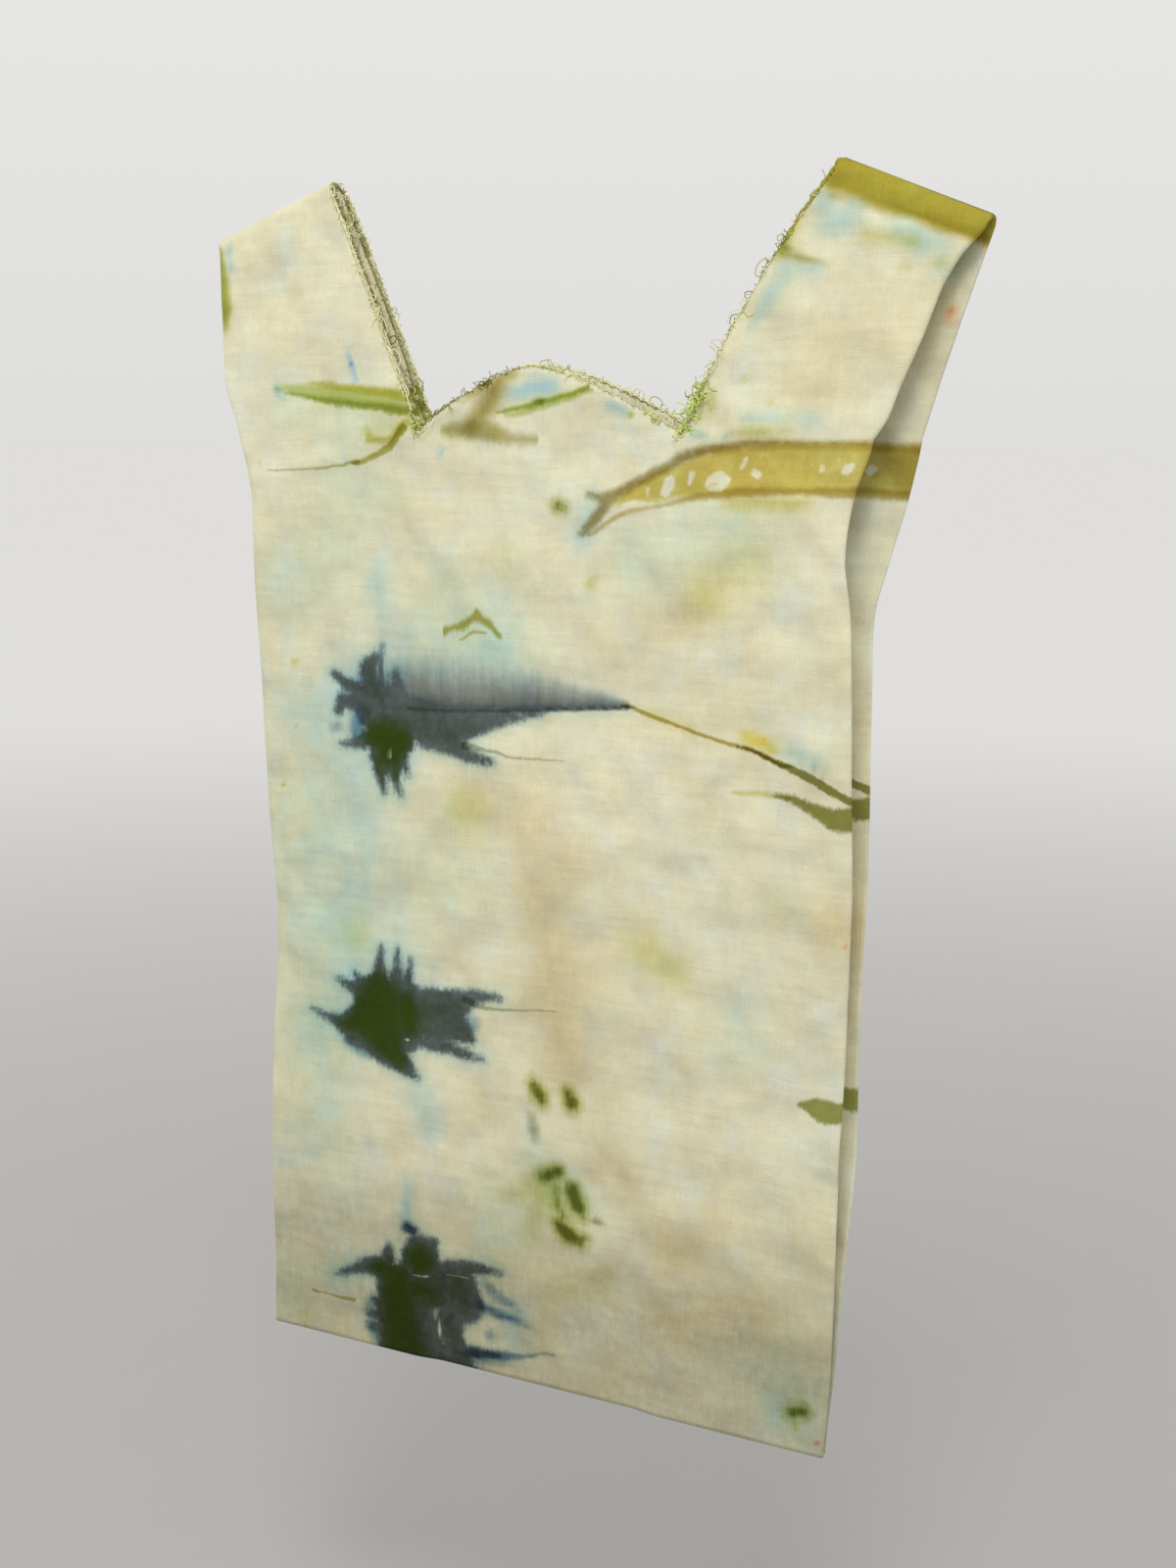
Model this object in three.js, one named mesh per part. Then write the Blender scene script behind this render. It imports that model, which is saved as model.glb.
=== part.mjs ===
// A folded cotton carrier bag hung by its two straps. Millimetres, +Z up, front towards -Y.
// The origin lies midway between the two places where the straps rest on what holds them.
import * as THREE from 'three';

// Cloth and thread
const CLOTH = 0.8;
const JOIN_GAP = 0.3;
const THREAD = 0.5;
const FRAY_WIDTH = 2.2;
const FRAY_THICKNESS = 0.6;

// Body of the bag
const BODY_WIDTH = 296;
const HEM_DROP = 538;
const MOUTH_X = -8.5;
const HEM_LEAN = -6.5;
const GUSSET_DEPTH = 82;

// Mouth
const NOTCH_DROP = 96;
const HUMP_RISE = 28;
const HUMP_PEAK = -0.12;
const HUMP_POWER = 1.5;
const ARMPIT_BELOW_NOTCH = 54;

// Straps
const SADDLE_SPAN = 305;
const SADDLE_RADIUS = 3.3;
const STRAP_TOP_WIDTH = 67;
const SHOULDER_SLOPE_DEG = 21;
const INNER_BOW = { left: -1, right: -5 };
const OUTER_BOW = { front: { left: 2, right: -6 }, back: { left: 2, right: 0 } };
const FLARE = { front: { left: 16, right: 6 }, back: { left: 16, right: 16 } };

// Half the depth of the bag, panel to middle
const EDGE_HALF_DEPTH = 12;
const MOUTH_HALF_DEPTH = 8;
const SEAM_RISE = 3;
const HEM_FLARE_HEIGHT = 150;

// Derived sizes
const HALF_WIDTH = BODY_WIDTH / 2;
const NOTCH_HALF = HALF_WIDTH - GUSSET_DEPTH;
const HEM_Z = -HEM_DROP;
const NOTCH_Z = -NOTCH_DROP;
const ARMPIT_Z = NOTCH_Z - ARMPIT_BELOW_NOTCH;
const LAYER_PITCH = CLOTH + THREAD + 2 * JOIN_GAP;
const FOLD_RADIUS = LAYER_PITCH / 2;
const SEAM_HALF_GAP = (CLOTH + JOIN_GAP) / 2;
const HEM_HALF_GAP = CLOTH / 2 + JOIN_GAP + THREAD / 2;
const INNER_RADIUS = SADDLE_RADIUS + CLOTH / 2;
const OUTER_RADIUS = INNER_RADIUS + LAYER_PITCH;
const SLOPE = THREE.MathUtils.degToRad(SHOULDER_SLOPE_DEG);

// Grid counts
const FLAP_STEPS = 5;
const FOLD_STEPS = 4;
const STRAP_STEPS = 5;
const MIDDLE_STEPS = 12;
const BODY_ROWS = 14;
const STRAP_ROWS = 8;
const SADDLE_ROWS = 4;

// How far each cloth stops short of the other over the top of a strap
const SADDLE_RETREAT = JOIN_GAP / 2 + (CLOTH / 2) * Math.sin(Math.PI / 4 / SADDLE_ROWS);

const lerp = THREE.MathUtils.lerp;
const smooth = (from, to, value) => THREE.MathUtils.smoothstep(value, from, to);
const sideName = (side) => (side < 0 ? 'left' : 'right');
const faceName = (face) => (face < 0 ? 'front' : 'back');

// Sideways place of the bag's centreline at a height
function centreX(z) {
  return MOUTH_X + HEM_LEAN * Math.max((NOTCH_Z - z) / (NOTCH_Z - HEM_Z), 0);
}

// How far a side edge leans outwards below the strap
function flareX(face, side, z) {
  const rise = THREE.MathUtils.clamp((z - ARMPIT_Z) / ARMPIT_BELOW_NOTCH, 0, 1);
  return FLARE[faceName(face)][sideName(side)] * rise ** 1.5;
}

// Rise of the mouth above the notches, -1 at the left notch to 1 at the right
function humpZ(across) {
  const fromPeak = across - HUMP_PEAK;
  const span = fromPeak < 0 ? 1 + HUMP_PEAK : 1 - HUMP_PEAK;
  return HUMP_RISE * (1 - Math.abs(fromPeak / span) ** HUMP_POWER);
}

// Depth of the outer panel from the middle plane, by height and distance from the centreline
function panelHalfDepth(z, fromCentre) {
  const outward = smooth(NOTCH_HALF * 0.75, NOTCH_HALF, Math.abs(fromCentre));
  const lifted = smooth(HEM_Z, HEM_Z + HEM_FLARE_HEIGHT, z);
  const atHem = HEM_HALF_GAP + LAYER_PITCH * outward;
  const towardEdge = smooth(NOTCH_HALF, HALF_WIDTH, Math.abs(fromCentre));
  const upper = lerp(MOUTH_HALF_DEPTH, EDGE_HALF_DEPTH, towardEdge);
  return lerp(atHem, upper, lifted);
}

function innerFoldHalfGap(z) {
  return lerp(HEM_HALF_GAP, SEAM_HALF_GAP, smooth(HEM_Z + 2 * SEAM_RISE, HEM_Z + 6 * SEAM_RISE, z));
}

// A point of the body. across runs 0 at the inner fold to 1 at the side edge; turn is the
// half turn round the edge, 0 on the outer panel and 1 on the gusset.
function bodyPoint(face, side, across, turn, z) {
  const edge = HALF_WIDTH - FOLD_RADIUS;
  const fromCentre = lerp(NOTCH_HALF, edge, across);
  const panel = panelHalfDepth(z, fromCentre);
  const edgePanel = panelHalfDepth(z, edge);
  const gusset = lerp(innerFoldHalfGap(z), edgePanel - LAYER_PITCH, across);
  const depth = foldDepth(panel, gusset, turn);
  const bulge = FOLD_RADIUS * Math.sin(Math.PI * turn);
  const x = centreX(z) + side * (fromCentre + across * flareX(face, side, z) + bulge);
  return new THREE.Vector3(x, face * depth, z);
}

function foldDepth(panel, gusset, turn) {
  return lerp(panel, gusset, (1 - Math.cos(Math.PI * turn)) / 2);
}

function bow(start, end, sideways, t) {
  const point = start.clone().lerp(end, t);
  point.x += sideways * 4 * t * (1 - t);
  return point;
}

// Ends of the line over which a strap bends, at the axis of that bend
function saddleAxis(side) {
  const middle = new THREE.Vector2((side * SADDLE_SPAN) / 2, -SADDLE_RADIUS / Math.cos(SLOPE));
  const along = new THREE.Vector2(side * Math.cos(SLOPE), -Math.sin(SLOPE));
  const inner = middle.clone().addScaledVector(along, -STRAP_TOP_WIDTH / 2);
  const outer = middle.clone().addScaledVector(along, STRAP_TOP_WIDTH / 2 - FOLD_RADIUS);
  return { inner, outer, along };
}

// A point of a strap. rise is 0 at the notch and 1 where the bend over the top begins.
function strapPoint(face, side, across, turn, rise, bend) {
  const axis = saddleAxis(side);
  const innerBow = INNER_BOW[sideName(side)];
  const outerBow = OUTER_BOW[faceName(face)][sideName(side)];
  const edge = HALF_WIDTH - FOLD_RADIUS;
  const notch = new THREE.Vector2(centreX(NOTCH_Z) + side * NOTCH_HALF, NOTCH_Z);
  const reach = edge + flareX(face, side, NOTCH_Z);
  const shoulder = new THREE.Vector2(centreX(NOTCH_Z) + side * reach, NOTCH_Z);
  const inner = bow(notch, axis.inner, side * innerBow, rise);
  const outer = bow(shoulder, axis.outer, side * outerBow, rise);
  const flat = inner.lerp(outer, across);
  flat.addScaledVector(axis.along, FOLD_RADIUS * Math.sin(Math.PI * turn));
  const panel = lerp(panelHalfDepth(NOTCH_Z, lerp(NOTCH_HALF, edge, across)), OUTER_RADIUS, rise);
  const edgePanel = lerp(panelHalfDepth(NOTCH_Z, edge), OUTER_RADIUS, rise);
  const innerGusset = lerp(SEAM_HALF_GAP, INNER_RADIUS, smooth(0, 0.33, rise));
  const gusset = lerp(innerGusset, edgePanel - LAYER_PITCH, across);
  const radius = foldDepth(panel, gusset, turn);
  const angle = bend * (Math.PI / 2 - Math.asin(SADDLE_RETREAT / radius));
  const lift = radius * Math.sin(angle);
  return new THREE.Vector3(
    flat.x + side * lift * Math.sin(SLOPE),
    face * radius * Math.cos(angle),
    flat.y + lift * Math.cos(SLOPE),
  );
}

// Places across a strap from the raw edge of the panel, round the side edge, to the gusset
function strapStations() {
  const stations = [];
  for (let i = 0; i <= STRAP_STEPS; i += 1) {
    stations.push({ across: i / STRAP_STEPS, turn: 0 });
  }
  for (let i = 1; i < FOLD_STEPS; i += 1) {
    stations.push({ across: 1, turn: i / FOLD_STEPS });
  }
  for (let i = 0; i <= FLAP_STEPS; i += 1) {
    stations.push({ across: 1 - i / FLAP_STEPS, turn: 1 });
  }
  return stations;
}

function strapLevels() {
  const levels = [];
  for (let i = 1; i <= STRAP_ROWS; i += 1) {
    levels.push({ rise: i / STRAP_ROWS, bend: 0 });
  }
  for (let i = 1; i <= SADDLE_ROWS; i += 1) {
    levels.push({ rise: 1, bend: i / SADDLE_ROWS });
  }
  return levels;
}

// Heights of the body rows, closer together at the hem and the armpits
function bodyShare(row) {
  const t = row / BODY_ROWS;
  return t - 0.06 * Math.sin(2 * Math.PI * t);
}

// The middle surface of one cloth: points and the four-sided faces between them
function clothSurface(face) {
  const points = [];
  const quads = [];
  const add = (point) => points.push(point) - 1;
  const stations = strapStations();
  const leftToRight = [
    ...stations.map((s) => ({ ...s, side: -1 })).reverse(),
    ...stations.map((s) => ({ ...s, side: 1 })),
  ];
  const half = stations.length;
  const rows = [];
  for (let row = 0; row <= BODY_ROWS; row += 1) {
    const z = lerp(HEM_Z, NOTCH_Z, bodyShare(row));
    const line = leftToRight.map((s) => add(bodyPoint(face, s.side, s.across, s.turn, z)));
    const middle = [];
    for (let i = 1; i < MIDDLE_STEPS; i += 1) {
      const across = -1 + (2 * i) / MIDDLE_STEPS;
      const top = NOTCH_Z + humpZ(across);
      const height = lerp(HEM_Z, top, bodyShare(row));
      const fromCentre = across * NOTCH_HALF;
      const depth = panelHalfDepth(height, fromCentre);
      middle.push(add(new THREE.Vector3(centreX(height) + fromCentre, face * depth, height)));
    }
    rows.push([...line.slice(0, half), ...middle, ...line.slice(half)]);
  }
  const join = (lower, upper) => {
    for (let i = 0; i + 1 < lower.length; i += 1) {
      quads.push([lower[i], lower[i + 1], upper[i + 1], upper[i]]);
    }
  };
  for (let row = 0; row < BODY_ROWS; row += 1) {
    join(rows[row], rows[row + 1]);
  }
  const top = rows[BODY_ROWS];
  for (const side of [-1, 1]) {
    const ordered = leftToRight.filter((s) => s.side === side);
    let lower = side < 0 ? top.slice(0, half) : top.slice(-half);
    for (const { rise, bend } of strapLevels()) {
      const upper = ordered.map((s) => add(strapPoint(face, side, s.across, s.turn, rise, bend)));
      join(lower, upper);
      lower = upper;
    }
  }
  return { points, quads };
}

// A closed body of even thickness about a surface
function thicken({ points, quads }, thickness) {
  const normals = points.map(() => new THREE.Vector3());
  for (const [a, b, c, d] of quads) {
    const across = points[c].clone().sub(points[a]);
    const normal = across.cross(points[d].clone().sub(points[b]));
    for (const i of [a, b, c, d]) {
      normals[i].add(normal);
    }
  }
  const positions = [];
  for (const direction of [1, -1]) {
    points.forEach((point, i) => {
      const shift = normals[i].clone().normalize().multiplyScalar((direction * thickness) / 2);
      positions.push(...point.clone().add(shift).toArray());
    });
  }
  const count = points.length;
  const triangles = [];
  const edges = new Set();
  const face = (a, b, c) => triangles.push(a, b, c);
  for (const quad of quads) {
    const [a, b, c, d] = quad;
    face(a, b, c);
    face(a, c, d);
    face(count + a, count + c, count + b);
    face(count + a, count + d, count + c);
    quad.forEach((from, i) => edges.add(`${from},${quad[(i + 1) % 4]}`));
  }
  for (const edge of edges) {
    const [from, to] = edge.split(',').map(Number);
    if (!edges.has(`${to},${from}`)) {
      face(from, count + from, count + to);
      face(from, count + to, to);
    }
  }
  const geometry = new THREE.BufferGeometry();
  geometry.setAttribute('position', new THREE.Float32BufferAttribute(positions, 3));
  geometry.setIndex(triangles);
  return geometry;
}

// A thread laid along a line of points
function threadGeometry(points, steps) {
  const round = new THREE.Shape();
  round.absarc(0, 0, THREAD / 2, 0, 2 * Math.PI, false);
  return new THREE.ExtrudeGeometry(round, {
    steps,
    curveSegments: 8,
    bevelEnabled: false,
    extrudePath: new THREE.CatmullRomCurve3(points),
  });
}

// Thread inside the bag that joins the two gusset halves along their inner fold
function sideSeamPoints(side) {
  const from = HEM_Z + 8 * SEAM_RISE;
  const to = NOTCH_Z - THREAD;
  const inset = NOTCH_HALF - JOIN_GAP - THREAD / 2;
  const points = [];
  for (let i = 0; i <= BODY_ROWS; i += 1) {
    const z = lerp(from, to, i / BODY_ROWS);
    points.push(new THREE.Vector3(centreX(z) + side * inset, 0, z));
  }
  return points;
}

function bottomSeamPoints() {
  const z = HEM_Z + SEAM_RISE;
  const reach = HALF_WIDTH - LAYER_PITCH;
  return [-1, 0, 1].map((share) => new THREE.Vector3(centreX(z) + share * reach, 0, z));
}

// Thread between the two layers of a strap, along the top where front and back cloths meet
function shoulderSeamPoints(side) {
  const axis = saddleAxis(side);
  const lift = (INNER_RADIUS + OUTER_RADIUS) / 2;
  return [THREAD, STRAP_TOP_WIDTH / 2, STRAP_TOP_WIDTH - LAYER_PITCH].map((along) => {
    const flat = axis.inner.clone().addScaledVector(axis.along, along);
    const x = flat.x + side * lift * Math.sin(SLOPE);
    return new THREE.Vector3(x, 0, flat.y + lift * Math.cos(SLOPE));
  });
}

// Frayed yarns beyond a raw edge. Each station holds a point on the edge and one inside the cloth.
function fraySurface(stations) {
  const points = [];
  const quads = [];
  stations.forEach(({ edge, inside }, i) => {
    const before = stations[Math.max(i - 1, 0)].edge;
    const after = stations[Math.min(i + 1, stations.length - 1)].edge;
    const arriving = edge.clone().sub(before).normalize();
    const leaving = after.clone().sub(edge).normalize();
    const tangent = after.clone().sub(before).normalize();
    const outward = edge.clone().sub(inside);
    outward.addScaledVector(tangent, -outward.dot(tangent)).normalize();
    const turns = arriving.lengthSq() > 0 && leaving.lengthSq() > 0;
    const mitre = turns ? 1 / Math.sqrt((1 + arriving.dot(leaving)) / 2) : 1;
    points.push(edge.clone().addScaledVector(outward, JOIN_GAP * mitre));
    points.push(edge.clone().addScaledVector(outward, (JOIN_GAP + FRAY_WIDTH) * mitre));
  });
  for (let i = 0; i + 1 < stations.length; i += 1) {
    quads.push([2 * i, 2 * i + 2, 2 * i + 3, 2 * i + 1]);
  }
  return { points, quads };
}

function strapEdgeStations(face, side, turn, fromRise) {
  const inside = 0.05;
  const above = strapLevels().filter((level) => level.rise > fromRise);
  const levels = [{ rise: fromRise, bend: 0 }, ...above];
  return levels.map(({ rise, bend }) => ({
    edge: strapPoint(face, side, 0, turn, rise, bend),
    inside: strapPoint(face, side, inside, turn, rise, bend),
  }));
}

// Raw edge of one panel: down the left strap, over the hump of the mouth and up the right strap
function mouthStations(face) {
  const hump = [];
  for (let i = 0; i <= MIDDLE_STEPS; i += 1) {
    const across = -1 + (2 * i) / MIDDLE_STEPS;
    const z = NOTCH_Z + humpZ(across);
    const depth = face * panelHalfDepth(z, across * NOTCH_HALF);
    const edge = new THREE.Vector3(centreX(z) + across * NOTCH_HALF, depth, z);
    hump.push({ edge, inside: edge.clone().setZ(z - 1) });
  }
  const firstRise = 1 / STRAP_ROWS;
  const left = strapEdgeStations(face, -1, 0, firstRise).reverse();
  return [...left, ...hump, ...strapEdgeStations(face, 1, 0, firstRise)];
}

function matt(name, color, roughness) {
  return new THREE.MeshStandardMaterial({ name, color, roughness, metalness: 0 });
}

const cotton = matt('dyed_cotton', 0xd8d2ac, 0.95);
const thread = matt('sewing_thread', 0xe4dec4, 0.85);
const yarn = matt('loose_yarn', 0xc9c595, 0.95);

const bag = new THREE.Group();
bag.name = 'cotton_carrier_bag';

function addPiece(name, geometry, material) {
  const mesh = new THREE.Mesh(geometry, material);
  mesh.name = name;
  bag.add(mesh);
}

for (const face of [-1, 1]) {
  const name = faceName(face);
  addPiece(`${name}_cloth`, thicken(clothSurface(face), CLOTH), cotton);
  addPiece(`${name}_mouth_fray`, thicken(fraySurface(mouthStations(face)), FRAY_THICKNESS), yarn);
}

for (const side of [-1, 1]) {
  const name = sideName(side);
  addPiece(`side_seam_${name}`, threadGeometry(sideSeamPoints(side), BODY_ROWS), thread);
  addPiece(`shoulder_seam_${name}`, threadGeometry(shoulderSeamPoints(side), STRAP_STEPS), thread);
  for (const face of [-1, 1]) {
    const edge = fraySurface(strapEdgeStations(face, side, 1, 1 / STRAP_ROWS));
    addPiece(`${faceName(face)}_gusset_fray_${name}`, thicken(edge, FRAY_THICKNESS), yarn);
  }
}

addPiece('bottom_seam', threadGeometry(bottomSeamPoints(), MIDDLE_STEPS), thread);

export default bag;
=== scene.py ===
"""Looks of a hand-dyed cotton carrier bag that hangs by its two straps.

Shapes are worked out in millimetres in the part's frame and stored in metres.
A face is -1 for the front cloth and 1 for the back; a side is -1 for left and 1 for right.
"""

import math

import bpy
import numpy as np
from mathutils import Matrix, Vector


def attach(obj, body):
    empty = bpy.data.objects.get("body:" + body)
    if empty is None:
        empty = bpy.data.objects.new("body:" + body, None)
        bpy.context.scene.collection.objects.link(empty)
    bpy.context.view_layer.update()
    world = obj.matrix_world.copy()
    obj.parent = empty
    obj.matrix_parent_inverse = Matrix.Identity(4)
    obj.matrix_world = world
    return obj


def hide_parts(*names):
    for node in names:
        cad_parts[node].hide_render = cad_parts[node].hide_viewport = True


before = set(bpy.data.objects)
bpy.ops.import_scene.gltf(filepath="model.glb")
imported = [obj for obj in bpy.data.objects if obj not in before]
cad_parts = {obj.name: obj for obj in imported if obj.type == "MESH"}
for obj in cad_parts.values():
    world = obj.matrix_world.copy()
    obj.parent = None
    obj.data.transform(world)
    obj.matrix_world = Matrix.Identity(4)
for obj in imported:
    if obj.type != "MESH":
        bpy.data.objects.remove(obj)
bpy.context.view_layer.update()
MM = 0.001
TINY = 1e-9
FACES = ((-1, "front"), (1, "back"))
SIDES = ((-1, "left"), (1, "right"))

# ---------------------------------------------------------------- sizes
# As in the part, except that the cloth is drawn a little thinner
PART_CLOTH = 0.8
CLOTH = 0.7
PITCH = 1.9
FOLD = PITCH / 2
HALF_WIDTH = 148.0
NOTCH_HALF = 66.0
NOTCH_Z = -96.0
HEM_Z = -538.0
MOUTH_X = -8.5
HEM_LEAN = -6.5
HUMP_RISE = 28.0
HUMP_PEAK = -0.12
HUMP_POWER = 1.5
SADDLE_HALF = 152.5
SADDLE_RADIUS = 3.3
STRAP_TOP = 67.0
SLOPE = math.radians(21)
EDGE_DEPTH = 12.0
MOUTH_DEPTH = 8.0
SEAM_GAP = 0.55
HEM_GAP = 0.95
INNER_RADIUS = SADDLE_RADIUS + PART_CLOTH / 2
OUTER_RADIUS = INNER_RADIUS + PITCH
SADDLE_RETREAT = 0.23

# Heights above the hem: the cloth stays flat up to the first, then the inner folds are closed,
# the wrinkles are full and the panels stand fully apart
HEM_STIFF = 6
SEAM_RISE = 18
WRINKLE_RISE = 130
LIFT_RISE = 150
# Shares of a strap's rise: where its gusset is fully open, and where the bend calms the wrinkles
GUSSET_OPEN = 0.33
STRAP_CALM = 0.6
# How far the knots of an edge are rounded, along the edge
EDGE_ROUNDING = np.linspace(-9, 9, 7)
SHIFT_ROUNDING = np.linspace(-0.04, 0.04, 5)

# Steps of the mesh
FLAP_STEPS = 22
FOLD_STEPS = 4
STRAP_STEPS = 38
MIDDLE_STEPS = 60
BODY_ROWS = 202
STRAP_ROWS = 54
SADDLE_ROWS = 6

# Side edges: height and sideways place of the crease, for each cloth and side
EDGES = {
    (-1, -1): [(-538, -164), (-500, -162), (-455, -160), (-415, -157), (-374, -154.5), (-346, -151.5),
               (-320, -151.5), (-300, -153), (-280, -156), (-245, -158), (-206, -160.5), (-174, -162.5),
               (-135, -162), (-120, -163), (-108, -167), (-96, -171)],
    (-1, 1): [(-538, 130.7), (-496, 134), (-441, 136.5), (-354, 139), (-278, 140), (-216, 138),
              (-171, 136), (-153, 133), (-140, 132), (-124, 134), (-108, 139), (-96, 144)],
    (1, -1): [(-538, -163), (-455, -160), (-374, -158), (-300, -158), (-206, -161), (-150, -160),
              (-120, -163), (-96, -170)],
    (1, 1): [(-538, 130), (-500, 133), (-447, 135), (-400, 137), (-336, 136.5), (-266, 138.7),
             (-199, 137.7), (-172, 137), (-160, 139), (-142, 144), (-125, 149.5), (-110, 152.7), (-96, 156)],
}
INNER_BOW = {-1: -1.0, 1: -5.0}
# Outward shift of a strap's outer edge against how far up the strap it is
OUTER_SHIFT = {
    (-1, -1): [(0, 0), (0.12, 2.6), (0.25, 4.9), (0.5, 3.3), (0.75, 1.6), (1, 0)],
    (-1, 1): [(0, 0), (0.1, 1.4), (0.25, -0.8), (0.5, -2.4), (0.75, -5.4), (0.9, -4.3), (1, 0)],
    (1, -1): [(0, 0), (0.5, 2), (1, 0)],
    (1, 1): [(0, 0), (0.3, -0.6), (0.6, -0.6), (1, 0)],
}
# Wrinkles hung into the cloth: height, cell width, cell height and how far the cells slant
WRINKLES = [(1.3, 95, 130, 0, 0), (0.75, 34, 52, 0, 0), (0.32, 13, 21, 0.4, -0.3), (0.12, 5.5, 6.5, 0, 0)]
WRINKLE_SEED = {-1: 5, 1: 9}
LATTICE_SIZE = 64
LATTICE_START = (17.3, 31.7)
# Creases: start, end, height of the ridge and its half width
CREASES = [
    (-93, -165, -92, -335, 0.55, 1.6), (-77, -97, -120, -109, 0.9, 5.0), (-120, -109, -163, -120, 1.1, 4.0),
    (-150, -150, -158, -118, -0.8, 6.0), (-100, -60, -135, -105, 0.5, 7.0), (56, -100, 95, -92, 0.7, 5.0),
    (95, -92, 141, -88, 1.0, 5.0), (136, -150, 110, -118, 0.9, 7.0), (136, -165, 100, -150, -0.6, 8.0),
    (120, -100, 141, -122, 0.9, 5.0), (139, -405, 120, -398, 0.7, 3.0), (138, -330, 126, -338, 0.6, 3.5),
    (-155, -300, -130, -290, 0.6, 5.0), (-60, -430, -20, -436, 0.5, 4.0), (20, -470, 80, -462, 0.5, 5.0),
    (-40, -505, 30, -500, 0.4, 5.0), (60, -400, 115, -410, 0.45, 6.0), (-20, -150, 20, -165, 0.4, 8.0),
    (75, -70, 130, -92, -0.6, 7.0), (-150, -330, -128, -350, 0.6, 5.0), (0, -200, 0, -330, 0.25, 2.0),
]


def ease(t):
    return t * t * (3 - 2 * t)


def smooth(low, high, value):
    return ease(np.clip((np.asarray(value, float) - low) / (high - low), 0, 1))


def mix(a, b, t):
    return a + (b - a) * t


def unit(vector):
    return vector / max(np.linalg.norm(vector), TINY)


def unit_rows(vectors):
    return vectors / np.maximum(np.linalg.norm(vectors, axis=1, keepdims=True), TINY)


def interpolate(at, knots):
    places, values = zip(*knots)
    return np.interp(at, places, values)


def lattice(x, z, cell_x, cell_z, seed):
    """Smooth noise from -1 to 1 over the flat cloth, from a seeded lattice of random values."""
    size = LATTICE_SIZE
    grid = np.random.default_rng(seed).uniform(-1, 1, (size, size))
    gx = np.asarray(x) / cell_x + LATTICE_START[0]
    gz = np.asarray(z) / cell_z + LATTICE_START[1]
    ix, iz = np.floor(gx).astype(int), np.floor(gz).astype(int)
    fx, fz = ease(gx - ix), ease(gz - iz)
    low, high = (mix(grid[ix % size, (iz + j) % size], grid[(ix + 1) % size, (iz + j) % size], fx)
                 for j in (0, 1))
    return mix(low, high, fz)


def segment(x, z, x0, z0, x1, z1):
    """Distance to a straight segment, and how far along it the nearest place is."""
    dx, dz = x1 - x0, z1 - z0
    t = np.clip(((x - x0) * dx + (z - z0) * dz) / (dx * dx + dz * dz + TINY), 0, 1)
    return np.hypot(x - x0 - t * dx, z - z0 - t * dz), t


# ---------------------------------------------------------------- shape of the cloth
def centre_x(z):
    return MOUTH_X + HEM_LEAN * np.maximum((NOTCH_Z - z) / (NOTCH_Z - HEM_Z), 0)


def edge_x(face, side, z):
    return np.mean([interpolate(z + s, EDGES[face, side]) for s in EDGE_ROUNDING], axis=0)


def hump_z(across):
    """Rise of the mouth above the notches, from -1 at the left notch to 1 at the right."""
    from_peak = across - HUMP_PEAK
    span = np.where(from_peak < 0, 1 + HUMP_PEAK, 1 - HUMP_PEAK)
    return HUMP_RISE * (1 - np.abs(from_peak / span) ** HUMP_POWER)


def panel_depth(z, from_centre):
    outward = smooth(NOTCH_HALF * 0.75, NOTCH_HALF, np.abs(from_centre))
    lifted = smooth(HEM_Z, HEM_Z + LIFT_RISE, z)
    upper = mix(MOUTH_DEPTH, EDGE_DEPTH, smooth(NOTCH_HALF, HALF_WIDTH, np.abs(from_centre)))
    return mix(HEM_GAP + PITCH * outward, upper, lifted)


def inner_fold_gap(z):
    return mix(HEM_GAP, SEAM_GAP, smooth(HEM_Z + HEM_STIFF, HEM_Z + SEAM_RISE, z))


def hanging(z):
    """0 at the hem, where the cloth is held flat, and 1 where it is free to wrinkle."""
    return smooth(HEM_Z + HEM_STIFF, HEM_Z + WRINKLE_RISE, z)


def fold_depth(panel, gusset, turn):
    return mix(panel, gusset, (1 - np.cos(np.pi * turn)) / 2)


def wrinkle(face, x, z):
    """How far the cloth stands out from its smooth shape."""
    seed = WRINKLE_SEED[face]
    out = 0
    for step, (height, cell_x, cell_z, slant_x, slant_z) in enumerate(WRINKLES):
        out = out + height * lattice(x + slant_x * z, z + slant_z * x, cell_x, cell_z, seed + step)
    for x0, z0, x1, z1, height, width in CREASES:
        near, t = segment(x + 2 * lattice(x, z, 12, 12, seed + len(WRINKLES)), z, x0, z0, x1, z1)
        out += height * np.exp(-((near / width) ** 2)) * (1 - 0.5 * t)
    return out


def body_point(face, side, across, turn, z):
    """A point of the body. across is 0 at the inner fold and 1 at the side edge."""
    edge = HALF_WIDTH - FOLD
    from_centre = mix(NOTCH_HALF, edge, across)
    inner = centre_x(z) + side * NOTCH_HALF
    x = mix(inner, edge_x(face, side, z) - side * FOLD, across) + side * FOLD * np.sin(np.pi * turn)
    gusset = mix(inner_fold_gap(z), panel_depth(z, edge) - PITCH, across)
    depth = fold_depth(panel_depth(z, from_centre), gusset, turn)
    depth = depth + hanging(z) * mix(1, across, turn) * wrinkle(face, x, z)
    return x, face * depth, z, x, z


def middle_point(face, across, z):
    x = centre_x(z) + across * NOTCH_HALF
    depth = panel_depth(z, across * NOTCH_HALF) + hanging(z) * wrinkle(face, x, z)
    return x, face * depth, z, x, z


def bow(start, end, sideways, t):
    x = mix(start[0], end[0], t) + sideways * 4 * t * (1 - t)
    return x, mix(start[1], end[1], t)


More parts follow.
